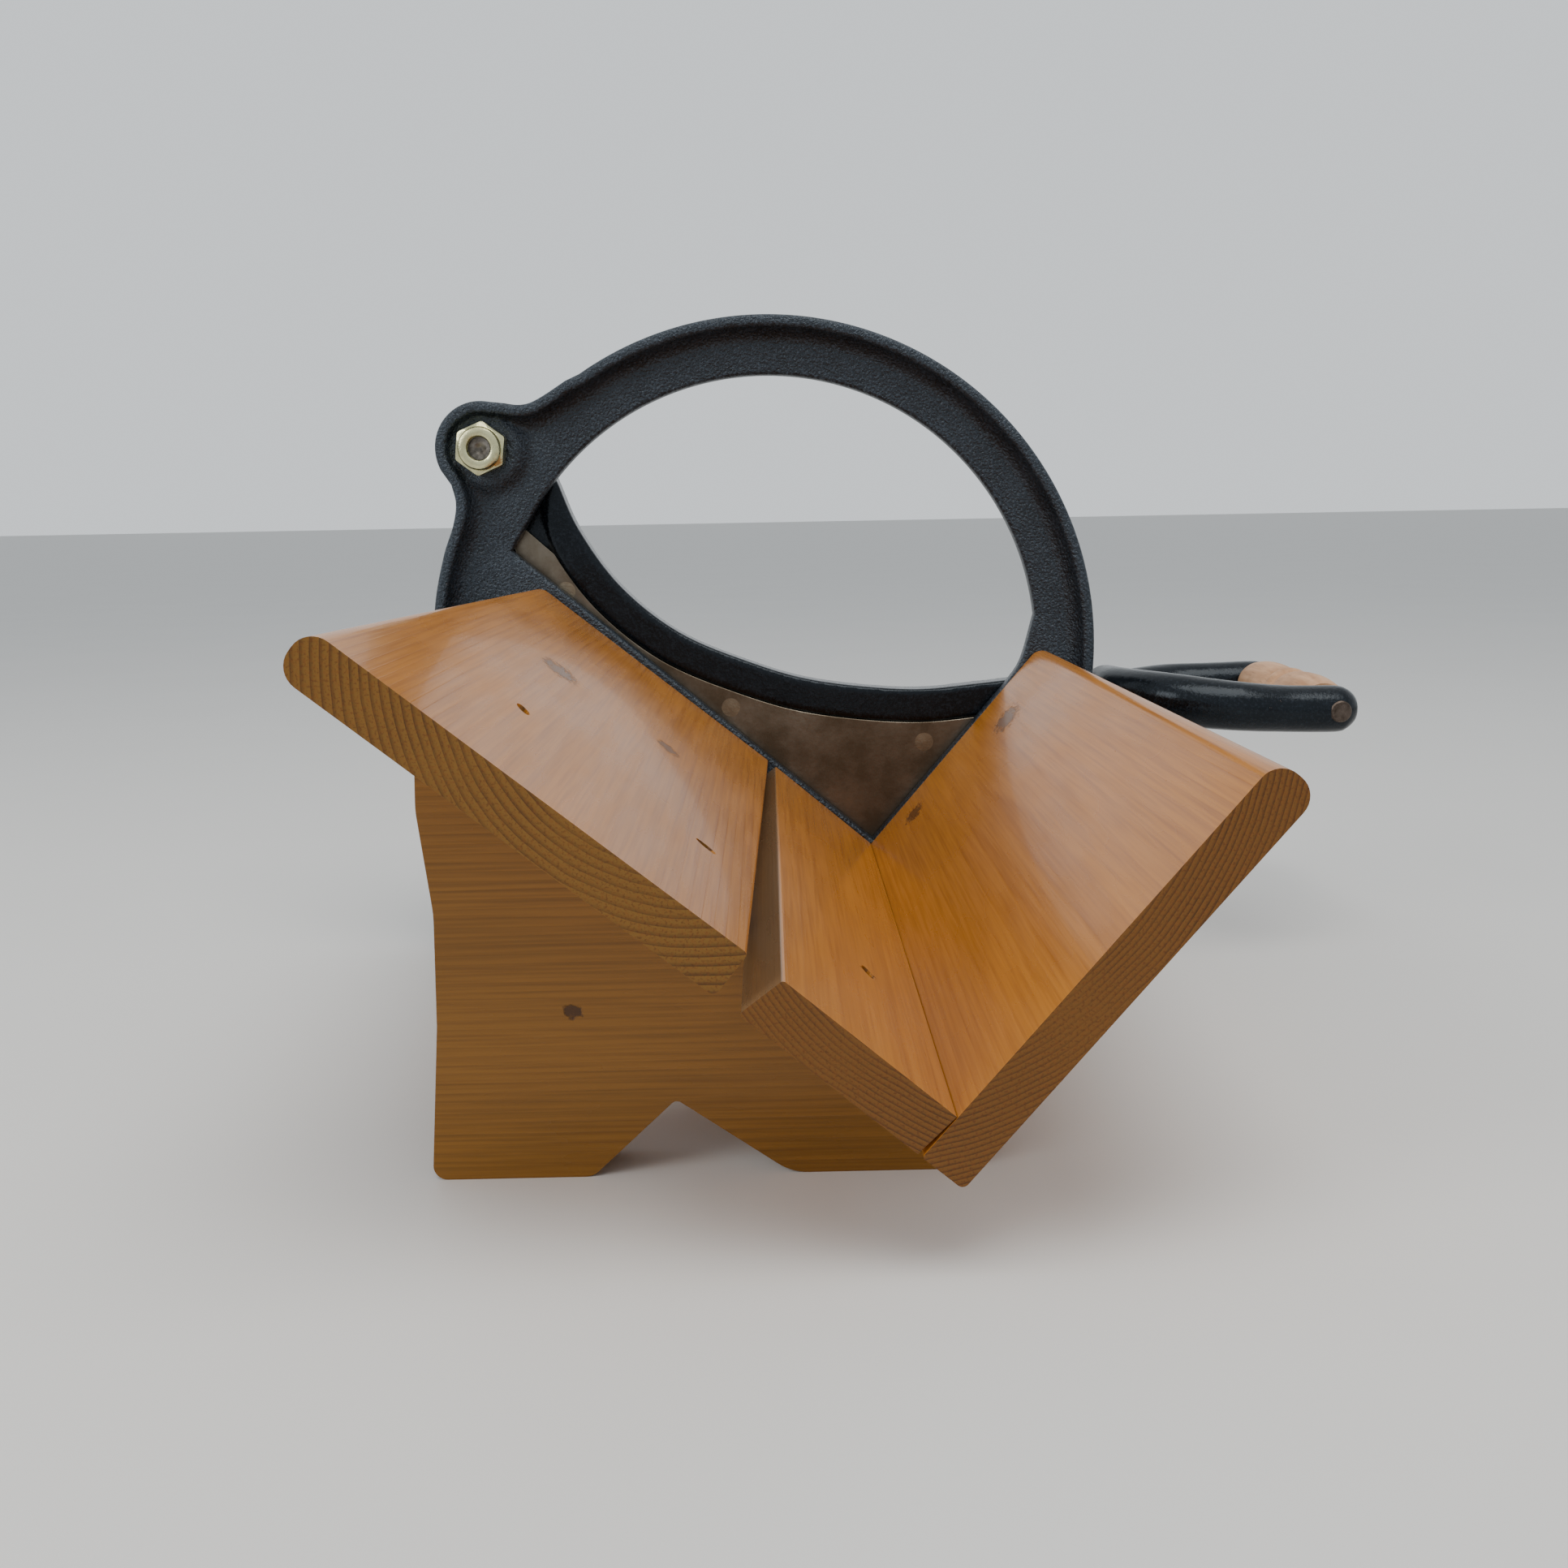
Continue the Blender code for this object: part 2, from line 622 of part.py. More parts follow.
def make_arm():
    top = arm_curve()
    rib_outline = [point.xy for point in top] + below(top, None)[::-1]
    arm = plate("knife_arm", [hub_plate_outline()], FLANGE_FRONT, FLANGE_BACK, black_iron)
    rib = plate("rib", [rib_outline], BLADE_FRONT + 0.0003, ARM_BACK - 0.0006)
    hub = bar("hub", PIVOT, BLADE_FRONT, ARM_BACK, ARM_HUB_RADIUS, 32)
    arm = join(arm, rib, hub, make_fork())
    bore = bar("bore", PIVOT, BLADE_FRONT - 0.01, ARM_BACK + 0.01, BORE_RADIUS, 32)
    seat = bar("seat", STOP_PIN, FLANGE_FRONT - 0.01, FLANGE_BACK + 0.01, STOP_PIN_RADIUS + GAP)
    reach = PRONG_REACH + PRONG_RADIUS + 0.01
    rod_hole = bar("rod_hole", GRIP, ARM_MIDDLE - reach, ARM_MIDDLE + reach, ROD_RADIUS + GAP)
    rivet_holes = [bar("hole", place, FLANGE_FRONT - 0.01, FLANGE_BACK + 0.01, RIVET_SHANK + GAP, 16)
                   for place in RIVETS]
    return shade(cut(arm, bore, seat, rod_hole, *rivet_holes))


def blade_outline():
    """The upper edge lies under the rib. The cutting edge is one long arc."""
    line = below(arm_curve(), RIB_WIDTH + GAP)
    upper = [point for point in line if -0.1385 < point.x < 0.0930]
    heel = [Vector((-0.1535, 0.1712)), Vector((-0.1487, 0.1782))]
    edge = arc(BLADE_EDGE_CENTRE, BLADE_EDGE_RADIUS, -43, -172, 32)
    return heel + upper + edge


def make_blade():
    blade = plate("blade", [blade_outline()], BLADE_FRONT, BLADE_FRONT + BLADE_THICKNESS, blade_steel)
    holes = [bar("hole", place, BLADE_FRONT - 0.01, BLADE_FRONT + 0.01, RIVET_RADIUS + GAP) for place in RIVETS]
    return cut(blade, *holes)


def make_rivets():
    """Each rivet is flush in the blade's face and has a low round head behind the flange."""
    for number, place in enumerate(RIVETS, 1):
        shoulder = FLANGE_FRONT - GAP - BLADE_FRONT
        back = FLANGE_BACK + GAP - BLADE_FRONT
        profile = ((0, back + 0.0012), (RIVET_RADIUS * 0.7, back + 0.0009), (RIVET_RADIUS, back), (RIVET_SHANK, back),
                   (RIVET_SHANK, shoulder), (RIVET_RADIUS, shoulder), (RIVET_RADIUS, 0), (0, -0.0001))
        shade(turned(f"rivet_{number}", profile, in_space(place, BLADE_FRONT), (0, 1, 0), steel, 24))


def make_grip():
    """A turned roller with a bead at half its length, and the rod that it turns on."""
    reach = PRONG_REACH + PRONG_RADIUS * 0.96
    shade(bar("grip_rod", GRIP, ARM_MIDDLE - reach, ARM_MIDDLE + reach, ROD_RADIUS, look=steel))
    half = PRONG_REACH - PRONG_RADIUS - GRIP_CLEARANCE
    inner = ROD_RADIUS + RUNNING_FIT
    profile = [(inner, half), (GRIP_RADIUS * 0.80, half)]
    for along, share in ((0.0375, 0.92), (0.0300, 1.0), (0.0180, 0.99), (0.0060, 0.90), (0.0035, 0.84), (0.0020, 0.95),
                         (-0.0020, 0.97), (-0.0045, 0.86), (-0.0070, 0.88), (-0.0180, 0.97), (-0.0300, 0.99),
                         (-0.0375, 0.92)):
        profile.append((GRIP_RADIUS * share, along))
    profile += [(GRIP_RADIUS * 0.80, -half), (inner, -half), (inner, half)]
    return shade(turned("grip", profile, in_space(GRIP, ARM_MIDDLE), (0, -1, 0), grip_wood), 50)


clear_scene()
model = bpy.data.collections.new("bread_slicer")
bpy.context.scene.collection.children.link(model)
black_iron = material("black_iron", (0.012, 0.013, 0.016), 0.42, 0.0)
blade_steel = material("blade_steel", (0.16, 0.12, 0.09), 0.45, 0.9)
steel = material("steel", (0.42, 0.40, 0.36), 0.40, 0.9)
zinc = material("zinc", (0.62, 0.58, 0.42), 0.35, 0.9)
pine = material("pine", (0.55, 0.24, 0.06), 0.30)
grip_wood = material("grip_wood", (0.62, 0.36, 0.19), 0.60)

trough = drill_for_screws([make_left_board(), make_narrow_board(), make_right_board()])
make_nails(trough, make_leg())
make_frame()
make_board_screws()
make_pivot()
make_arm()
make_blade()
make_rivets()
make_grip()
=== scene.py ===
"""The looks of the bread slicer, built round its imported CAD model."""

import math

import bmesh
import bpy
from mathutils import Matrix, Vector
from mathutils.geometry import delaunay_2d_cdt


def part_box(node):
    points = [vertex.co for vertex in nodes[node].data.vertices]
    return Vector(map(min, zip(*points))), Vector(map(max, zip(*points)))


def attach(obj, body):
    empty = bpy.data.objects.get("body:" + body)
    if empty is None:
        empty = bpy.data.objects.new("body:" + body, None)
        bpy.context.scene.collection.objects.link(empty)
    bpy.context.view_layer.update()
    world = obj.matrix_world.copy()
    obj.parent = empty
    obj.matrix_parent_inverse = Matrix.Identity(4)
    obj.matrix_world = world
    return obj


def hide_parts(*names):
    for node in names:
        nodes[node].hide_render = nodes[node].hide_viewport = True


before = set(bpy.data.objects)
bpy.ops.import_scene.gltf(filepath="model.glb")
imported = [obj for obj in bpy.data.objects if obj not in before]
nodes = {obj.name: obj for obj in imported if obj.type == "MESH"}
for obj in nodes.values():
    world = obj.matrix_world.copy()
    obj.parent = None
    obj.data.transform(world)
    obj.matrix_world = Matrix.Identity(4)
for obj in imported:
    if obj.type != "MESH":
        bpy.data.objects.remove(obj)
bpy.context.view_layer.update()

# Camera: where it stands and how it is turned
CAMERA_PLACE = (-0.0465, -0.50535, 0.182)
CAMERA_PITCH = math.radians(10.5)
CAMERA_YAW = math.radians(0.47)
CAMERA_ROLL = math.radians(1.03)
LENS_MM = 33.28
SENSOR_MM = 36.0

# Trough, as in the CAD: the valley line, the slopes, and the boards' widths up their slopes
VALLEY = Vector((-0.0042, 0.0413))
NARROW_SLOPE = math.radians(40.5)
RIGHT_SLOPE = math.radians(49.5)
LEFT_SLOPE = math.radians(38.9)
NARROW_WIDTH = 0.0535
NARROW_BACK_WIDTH = 0.0563
RIGHT_WIDTH = 0.1115
LEFT_WIDTH = 0.1232
LEFT_CORNER = Vector((-0.0502, 0.0805))
LEFT_SKEW = 0.0066
TROUGH_FRONT = -0.18335
TROUGH_LENGTH = 0.291
TROUGH_REAR = TROUGH_FRONT + TROUGH_LENGTH
BOARD_THICKNESS = 0.013
BOARD_ROUND = 0.0058
GAP = 0.0003
UNDERSIDE = -BOARD_THICKNESS - GAP

# The narrow board's slot face is painted grey beyond this width, and that face leans back by this angle
GREY_FACE_WIDTH = 0.0532
SLOT_LEAN = 0.21

# Frame casting, as in the CAD
WEB_FRONT = TROUGH_REAR + GAP
WEB_BACK = WEB_FRONT + 0.0075
RIM_FRONT = WEB_FRONT - 0.009
ARCH_CENTRE = Vector((-0.0470, 0.1252))
ARCH_OUTER = 0.1363
ARCH_INNER = 0.1135
PIVOT = Vector((-0.1620, 0.2107))
BOSS_RADIUS = 0.0190
BORE_RADIUS = 0.00608
V_EDGE_RISE = 0.0019
OPENING_TIP = Vector((-0.1534, 0.1694))
HUB_FRONT = WEB_FRONT - 0.0040
HUB_TOP = 0.0128
HUB_FOOT = 0.0200
FOOT_LEFT = -0.1915
FOOT_RIGHT = 0.0870
FOOT_ROUND = 0.0055
LEDGE_THICKNESS = 0.005
LEDGE_REACH = 0.026

# Knife, as in the CAD
BLADE_FRONT = WEB_BACK + 0.0004
BLADE_THICKNESS = 0.0018
BLADE_CENTRE = Vector((-0.0060, 0.1760))
BLADE_RADIUS = 0.1440
FLANGE_FRONT = BLADE_FRONT + BLADE_THICKNESS + GAP
FLANGE_BACK = FLANGE_FRONT + 0.0065
FLANGE_WIDTH = 0.0290
ARM_BACK = BLADE_FRONT + 0.0138
ARM_MIDDLE = (BLADE_FRONT + ARM_BACK) / 2
ARM_HUB_RADIUS = 0.0170
HEEL_RADIUS = 0.0145
STOP_PIN = Vector((-0.1650, 0.1815))
PRONG_RADIUS = 0.0095
PRONG_REACH = 0.050
GRIP = Vector((0.1800, 0.1014))
GRIP_RADIUS = 0.0115
GRIP_BORE_RADIUS = 0.00408

# Nut and bolt, as in the CAD
ACROSS_FLATS = 0.019
NUT_TURN = math.radians(7)
NUT_HEIGHT = 0.0105
NUT_BACK = HUB_FRONT - GAP
NUT_TIP = NUT_BACK - NUT_HEIGHT
BOLT_SUNK = 0.0044
WASHER_THICKNESS = 0.0025
HEAD_HEIGHT = 0.0075
THREAD_PITCH = 0.0016

# Leg and nails, as in the CAD, and the pits over the nails
LEG_FRONT = -0.12385
LEG_THICKNESS = 0.018
NAIL_RADIUS = 0.0012
PIT_FLOOR_RADIUS = 0.0024
PIT_RIM_RADIUS = 0.0038
PIT_HEIGHT = 0.0026

# Studio
FLOOR_REACH = 40.0
BACKDROP_LEVEL = 1.05
AMBIENT_LEVEL = 0.55


# Materials

class Nodes:
    """A short way to build one material's node tree."""

    def __init__(self, name):
        self.material = bpy.data.materials.new(name)
        self.material.use_nodes = True
        self.tree = self.material.node_tree
        self.shader = self.tree.nodes["Principled BSDF"]

    def add(self, kind, **settings):
        node = self.tree.nodes.new(kind)
        for key, value in settings.items():
            setattr(node, key, value)
        return node

    def link(self, source, target):
        self.tree.links.new(source, target)

    def put(self, socket, value):
        """Links a socket to a source, or sets its value."""
        if isinstance(value, bpy.types.NodeSocket):
            self.link(value, socket)
        else:
            socket.default_value = value

    def coordinates(self):
        return self.add("ShaderNodeTexCoord").outputs["Object"]

    def vector_math(self, operation, first, second=(0, 0, 0), output="Vector"):
        node = self.add("ShaderNodeVectorMath", operation=operation)
        self.put(node.inputs[0], first)
        self.put(node.inputs[1], second)
        return node.outputs[output]

    def noise(self, vector, scale, detail=3.0, roughness=0.5):
        node = self.add("ShaderNodeTexNoise")
        self.link(vector, node.inputs["Vector"])
        node.inputs["Scale"].default_value = scale
        node.inputs["Detail"].default_value = detail
        node.inputs["Roughness"].default_value = roughness
        return node.outputs["Fac"]

    def math(self, operation, first, second=0.0, clamp=False):
        node = self.add("ShaderNodeMath", operation=operation, use_clamp=clamp)
        self.put(node.inputs[0], first)
        self.put(node.inputs[1], second)
        return node.outputs[0]

    def ramp(self, factor, stops, interpolation="LINEAR"):
        """Stops are (place, colour) or (place, grey)."""
        node = self.add("ShaderNodeValToRGB")
        node.color_ramp.interpolation = interpolation
        elements = node.color_ramp.elements
        while len(elements) < len(stops):
            elements.new(0.5)
        for element, (place, colour) in zip(elements, stops):
            element.position = place
            element.color = (*colour, 1.0) if isinstance(colour, tuple) else (colour, colour, colour, 1.0)
        self.link(factor, node.inputs["Fac"])
        return node.outputs["Color"]

    def mix(self, factor, first, second):
        node = self.add("ShaderNodeMix", data_type="RGBA")
        self.put(node.inputs["Factor"], factor)
        for socket, value in ((node.inputs["A"], first), (node.inputs["B"], second)):
            self.put(socket, (*value, 1.0) if isinstance(value, tuple) else value)
        return node.outputs["Result"]

    def remap(self, value, low, high, new_low=0.0, new_high=1.0):
        node = self.add("ShaderNodeMapRange")
        self.link(value, node.inputs["Value"])
        for key, number in (("From Min", low), ("From Max", high), ("To Min", new_low), ("To Max", new_high)):
            node.inputs[key].default_value = number
        return node.outputs["Result"]

    def near(self, vector, places, radius, stretch):
        """1 at any of the places, falling to 0 at the radius."""
        best = None
        for place in places:
            away = self.vector_math("MULTIPLY", self.vector_math("SUBTRACT", vector, place), stretch)
            value = self.remap(self.vector_math("LENGTH", away, output="Value"), radius, 0.0)
            best = value if best is None else self.math("MAXIMUM", best, value)
        return best

    def bump(self, height, distance, strength=1.0, normal=None):
        node = self.add("ShaderNodeBump")
        self.link(height, node.inputs["Height"])
        node.inputs["Distance"].default_value = distance
        node.inputs["Strength"].default_value = strength
        if normal is not None:
            self.link(normal, node.inputs["Normal"])
        return node.outputs["Normal"]

    def finish(self, colour, roughness, normal=None, **numbers):
        self.put(self.shader.inputs["Base Color"], colour)
        self.put(self.shader.inputs["Roughness"], roughness)
        if normal is not None:
            self.link(normal, self.shader.inputs["Normal"])
        for key, value in numbers.items():
            self.shader.inputs[key.replace("_", " ")].default_value = value
        return self.material


class WoodNodes(Nodes):
    """Patterns of a board whose grain runs along X or Y."""

    def __init__(self, name, along, seed):
        super().__init__(name)
        self.along = along
        self.world = self.coordinates()
        self.wood = self.vector_math("ADD", self.world, (seed, seed, seed))

    def squeezed(self, share):
        """Coordinates that change slowly along the grain, so that a pattern stretches along it."""
        return self.vector_math("MULTIPLY", self.wood, (1, share, 1) if self.along == "Y" else (share, 1, 1))

    def wander(self):
        return self.noise(self.squeezed(0.05), 45.0, 2.0)

    def shifted(self, value, pattern, amount):
        """A value moved up and down by a pattern."""
        return self.math("ADD", value, self.math("MULTIPLY", self.math("SUBTRACT", pattern, 0.5), amount))

    def rings(self, pith, ring):
        """Growth rings about the pith line, dark at the end of each year."""
        split = self.add("ShaderNodeSeparateXYZ")
        self.link(self.world, split.inputs[0])
        across = self.math("SUBTRACT", split.outputs["X" if self.along == "Y" else "Y"], pith[0])
        up = self.math("SUBTRACT", split.outputs["Z"], pith[1])
        squares = self.math("ADD", self.math("MULTIPLY", across, across), self.math("MULTIPLY", up, up))
        bent = self.shifted(self.math("SQRT", squares), self.noise(self.squeezed(0.10), 7.0, 2.0), 0.008)
        bent = self.shifted(bent, self.wander(), 0.0022)
        phase = self.math("FRACT", self.math("DIVIDE", bent, ring))
        return self.ramp(phase, ((0.0, 0.0), (0.45, 0.12), (0.78, 0.65), (0.90, 1.0), (0.98, 0.05)), "EASE")

    def end_grain(self):
        """1 on the board's two ends and 0 on its other faces."""
        normal = self.add("ShaderNodeNewGeometry").outputs["Normal"]
        turned = self.add(
            "ShaderNodeVectorTransform", vector_type="NORMAL", convert_from="WORLD", convert_to="OBJECT")
        self.link(normal, turned.inputs[0])
        parts = self.add("ShaderNodeSeparateXYZ")
        self.link(turned.outputs[0], parts.inputs[0])
        return self.remap(self.math("ABSOLUTE", parts.outputs[self.along]), 0.6, 0.9)

    def greyed(self, tone, end, point, outward):
        """The face beyond a point is painted an uneven grey."""
        away = self.vector_math("SUBTRACT", self.world, point)
        reach = self.vector_math("DOT_PRODUCT", away, outward, "Value")
        grey = self.math("SUBTRACT", self.remap(reach, 0.0, 0.0005), end, clamp=True)
        uneven = self.remap(self.wander(), 0.3, 0.7, 0.65, 0.95)
        return self.mix(self.math("MULTIPLY", grey, uneven), tone, (0.135, 0.098, 0.060))

    def marked(self, tone, marks):
        """Adds ragged marks to the tone. Also returns 1 in the marks and 0 outside them."""
        dents = None
        for places, radius, stretch, colour, amount in marks:
            near = self.near(self.world, places, radius, stretch)
            ragged = self.remap(self.shifted(near, self.noise(self.world, 600.0, 3.0), 1.1), 0.40, 0.62)
            tone = self.mix(self.math("MULTIPLY", ragged, amount), tone, colour)
            dents = ragged if dents is None else self.math("MAXIMUM", dents, ragged)
        return tone, dents


def shaded(colour, share):
    return tuple(share * value for value in colour)


def pine_tone(n, rings, fibre, end, light, dark, end_tone):
    """The ends soak up more varnish, so they are darker and their rings are stronger."""
    blotch = n.noise(n.squeezed(0.2), 26.0, 4.0, 0.6)
    tone = n.mix(n.remap(blotch, 0.30, 0.70), light, shaded(light, 0.80))
    tone = n.mix(n.math("MULTIPLY", end, 0.90), tone, end_tone)
    uneven = n.remap(n.noise(n.squeezed(0.3), 28.0, 3.0), 0.30, 0.68, 0.30, 1.0)
    strength = n.math("ADD", 0.32, n.math("MULTIPLY", end, 0.62))
    ring_tone = n.mix(end, dark, (0.026, 0.009, 0.002))
    tone = n.mix(n.math("MULTIPLY", n.math("MULTIPLY", rings, uneven), strength), tone, ring_tone)
    tone = n.mix(n.remap(fibre, 0.42, 0.70, 0.0, 0.34), tone, dark)
    pores = n.remap(n.noise(n.wood, 1500.0, 2.0, 0.6), 0.52, 0.66, 0.0, 0.55)
    tone = n.mix(n.math("MULTIPLY", end, pores), tone, shaded(dark, 0.4))
    dirt = n.noise(n.squeezed(0.5), 240.0, 4.0, 0.75)
    return n.mix(n.remap(dirt, 0.70, 0.76, 0.0, 0.30), tone, (0.07, 0.028, 0.010))


def pine(name, pith, ring, marks, along="Y", seed=0.0, light=(0.52, 0.205, 0.030), dark=(0.20, 0.055, 0.007),
         end_tone=(0.135, 0.056, 0.009), grey_face=None):
    """Varnished pine. pith is where the tree's middle lies, across the grain."""
    n = WoodNodes(name, along, seed)
    rings = n.rings(pith, ring)
    fibre = n.noise(n.squeezed(0.02), 1100.0, 2.0)
    end = n.end_grain()
    tone = pine_tone(n, rings, fibre, end, light, dark, end_tone)
    # Paints the face beyond a given point an uneven grey
    if grey_face is not None:
        tone = n.greyed(tone, end, *grey_face)
    tone, dents = n.marked(tone, marks)
    wear = n.remap(n.noise(n.wood, 14.0, 3.0), 0.3, 0.7, 0.20, 0.30)
    smear = n.remap(n.noise(n.squeezed(0.12), 170.0, 3.0), 0.4, 0.8, 0.0, 0.08)
    roughness = n.math("ADD", n.math("ADD", wear, smear), n.math("MULTIPLY", end, 0.22))
    relief = n.math("ADD", n.math("MULTIPLY", rings, 0.30), n.math("MULTIPLY", fibre, 0.5))
    relief = n.math("SUBTRACT", relief, n.math("MULTIPLY", dents, 4.0))
    normal = n.bump(relief, 0.00010, 0.6)
    normal = n.bump(n.noise(n.squeezed(0.4), 20.0, 2.0), 0.0012, 0.35, normal)
    return n.finish(tone, roughness, normal, Coat_Weight=0.12, Coat_Roughness=0.06, Coat_IOR=1.45,
                    Specular_IOR_Level=0.22)


def cast_iron(name, gloss, sand_depth, lightness, shine):
    """Blue-black paint over a sand-cast surface, with a few small chips."""
    n = Nodes(name)
    place = n.coordinates()
    sand = n.noise(place, 900.0, 2.0, 0.6)
    waves = n.noise(place, 90.0, 3.0)
    chips = n.math("MULTIPLY", n.noise(place, 330.0, 4.0, 0.75), n.noise(place, 37.0, 2.0))
    chipped = n.remap(chips, 0.475, 0.490)
    deep = shaded((0.0070, 0.0092, 0.0130), lightness)
    worn = shaded((0.0150, 0.0200, 0.0275), lightness)
    colour = n.mix(n.remap(waves, 0.3, 0.7), deep, worn)
    colour = n.mix(n.remap(sand, 0.50, 0.68, 0.0, 0.8), colour, shaded(worn, 2.6))
    colour = n.mix(chipped, colour, (0.16, 0.12, 0.10))
    grainy = n.remap(sand, 0.3, 0.7, gloss - 0.05, gloss + 0.08)
    roughness = n.math("ADD", grainy, n.math("MULTIPLY", chipped, 0.2))
    normal = n.bump(sand, sand_depth, 1.0)
    normal = n.bump(waves, 0.0008, 0.25, normal)
    return n.finish(colour, roughness, normal, Specular_IOR_Level=shine, Specular_Tint=(0.78, 0.89, 1.0, 1.0))


def metal(name, bright, dull, roughness, spots, scale=160.0):
    """Bare or plated metal with a blotchy patina."""
    n = Nodes(name)
    place = n.coordinates()
    patch = n.noise(place, scale, 5.0, 0.65)
    fine = n.noise(place, scale * 8, 2.0)
    colour = n.mix(n.remap(patch, 0.35, 0.65), bright, dull)
    stain = n.remap(n.noise(place, scale * 2.2, 4.0, 0.8), 0.56, 0.70, 0.0, spots)
    colour = n.mix(stain, colour, (0.035, 0.020, 0.012))
    rough = n.remap(patch, 0.3, 0.7, roughness - 0.08, roughness + 0.12)
    rough = n.math("ADD", rough, n.math("MULTIPLY", stain, 0.2))
    normal = n.bump(fine, 0.00012, 0.4)
    normal = n.bump(patch, 0.0003, 0.3, normal)
    return n.finish(colour, rough, normal, Metallic=1.0)


def bare_wood(name):
    """The grip: pale unvarnished beech, grain along Y."""
    n = Nodes(name)
    place = n.coordinates()
    streak = n.noise(n.vector_math("MULTIPLY", place, (1, 0.08, 1)), 260.0, 3.0, 0.6)
    fleck = n.noise(n.vector_math("MULTIPLY", place, (1, 0.12, 1)), 900.0, 2.0)
    dirt = n.noise(place, 60.0, 4.0, 0.6)
    colour = n.mix(n.remap(streak, 0.35, 0.7), (0.66, 0.40, 0.235), (0.47, 0.245, 0.12))
    colour = n.mix(n.remap(fleck, 0.60, 0.72, 0.0, 0.5), colour, (0.30, 0.14, 0.06))
    colour = n.mix(n.remap(dirt, 0.52, 0.75, 0.0, 0.45), colour, (0.24, 0.12, 0.06))
    return n.finish(colour, 0.52, n.bump(streak, 0.0002, 0.5), Specular_IOR_Level=0.4)


def set_material(item, look):
    item.data.materials.clear()
    item.data.materials.append(look)


def nail_tops(*names):
    """Places of the nails' heads, from the CAD."""
    tops = []
    for name in names:
        low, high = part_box(name)
        tops.append((high.x - NAIL_RADIUS, (low.y + high.y) / 2, high.z - NAIL_RADIUS / 2))
    return tops


def nail_marks(tops, radius):
    """A mark is its places, radius, stretch, colour and amount."""
    return tops, radius, (1, 1.8, 1), (0.012, 0.007, 0.005), 0.95


def bruise(place, radius, stretch, amount):
    return (place,), radius, (1, stretch, 1), (0.06, 0.025, 0.012), amount


LEFT_NAILS = nail_tops("nail_left_outer", "nail_left_inner")
NARROW_NAILS = nail_tops("nail_narrow")

iron = cast_iron("black_iron", 0.30, 0.0008, 1.0, 0.50)
arm_iron = cast_iron("arm_iron", 0.19, 0.00010, 0.30, 0.24)
blade_metal = metal("blade_patina", (0.180, 0.158, 0.125), (0.100, 0.080, 0.056), 0.36, 0.12, 55.0)
rivet_metal = metal("rivet_metal", (0.25, 0.215, 0.155), (0.17, 0.14, 0.10), 0.34, 0.2)
zinc = metal("zinc_plate", (0.60, 0.59, 0.35), (0.44, 0.42, 0.25), 0.26, 0.25, 220.0)
rod_steel = metal("rod_steel", (0.115, 0.090, 0.075), (0.050, 0.038, 0.030), 0.42, 0.4, 300.0)
bolt_steel = metal("bolt_steel", (0.30, 0.28, 0.25), (0.10, 0.09, 0.08), 0.4, 0.5)
dark_steel = metal("dark_steel", (0.16, 0.14, 0.12), (0.07, 0.06, 0.05), 0.5, 0.6)
grip_look = bare_wood("grip_wood")

left_marks = (
    nail_marks(LEFT_NAILS, 0.0036),
    bruise((-0.1155, -0.0294, 0.1330), 0.0120, 0.75, 0.7),
    bruise((-0.0808, -0.0229, 0.1060), 0.0080, 0.75, 0.7),
)
narrow_marks = (nail_marks(NARROW_NAILS, 0.0048),)
right_marks = (
    bruise((0.0469, 0.0638, 0.1010), 0.0120, 0.6, 0.75),
    bruise((0.0114, 0.0805, 0.0600), 0.0090, 0.6, 0.75),
)
leg_knot = (((-0.1028, -0.1240, 0.0486),), 0.0050, (1, 1, 1.4), (0.045, 0.018, 0.008), 0.85)
# The point past which the narrow board's slot face is painted grey, and that face's normal
grey_face_start = (
    VALLEY.x - GREY_FACE_WIDTH * math.cos(NARROW_SLOPE), 0.0, VALLEY.y + GREY_FACE_WIDTH * math.sin(NARROW_SLOPE))
slot_normal = (-math.cos(NARROW_SLOPE - SLOT_LEAN), 0.0, math.sin(NARROW_SLOPE - SLOT_LEAN))
left_pine = pine("pine_left", (-0.062, 0.150), 0.0022, left_marks, end_tone=(0.160, 0.080, 0.013))
narrow_pine = pine("pine_narrow", (0.048, 0.146), 0.0014, narrow_marks, seed=3.0,
                   grey_face=(grey_face_start, slot_normal))
right_pine = pine("pine_right", (-0.037, 0.145), 0.0014, right_marks, seed=7.0)
leg_pine = pine("pine_leg", (-0.080, -0.040), 0.0024, (leg_knot,), along="X", seed=5.0,
                light=(0.275, 0.122, 0.019), dark=(0.080, 0.032, 0.006))

LOOKS = {
    "frame_casting": iron, "knife_arm": arm_iron, "grip_rod": rod_steel, "blade": blade_metal,
    "pivot_nut": zinc, "pivot_bolt": bolt_steel, "pivot_washer": zinc, "stop_pin": dark_steel, "grip": grip_look,
    "left_board": left_pine, "narrow_board": narrow_pine, "right_board": right_pine, "front_leg": leg_pine,
}
for name, node in nodes.items():
    if name in LOOKS:
        set_material(node, LOOKS[name])
    elif name.startswith("rivet"):
        set_material(node, rivet_metal)
    else:
        set_material(node, dark_steel)


# Outlines: lists of Vector((x, z)), clockwise as seen from the front

def arc(centre, radius, start, end, steps):
    points = []
    for i in range(steps + 1):
        angle = math.radians(start + (end - start) * i / steps)
        points.append(centre + radius * Vector((math.cos(angle), math.sin(angle))))
    return points


def circle(centre, radius):
    return arc(centre, radius, 360, 0, 48)[:-1]


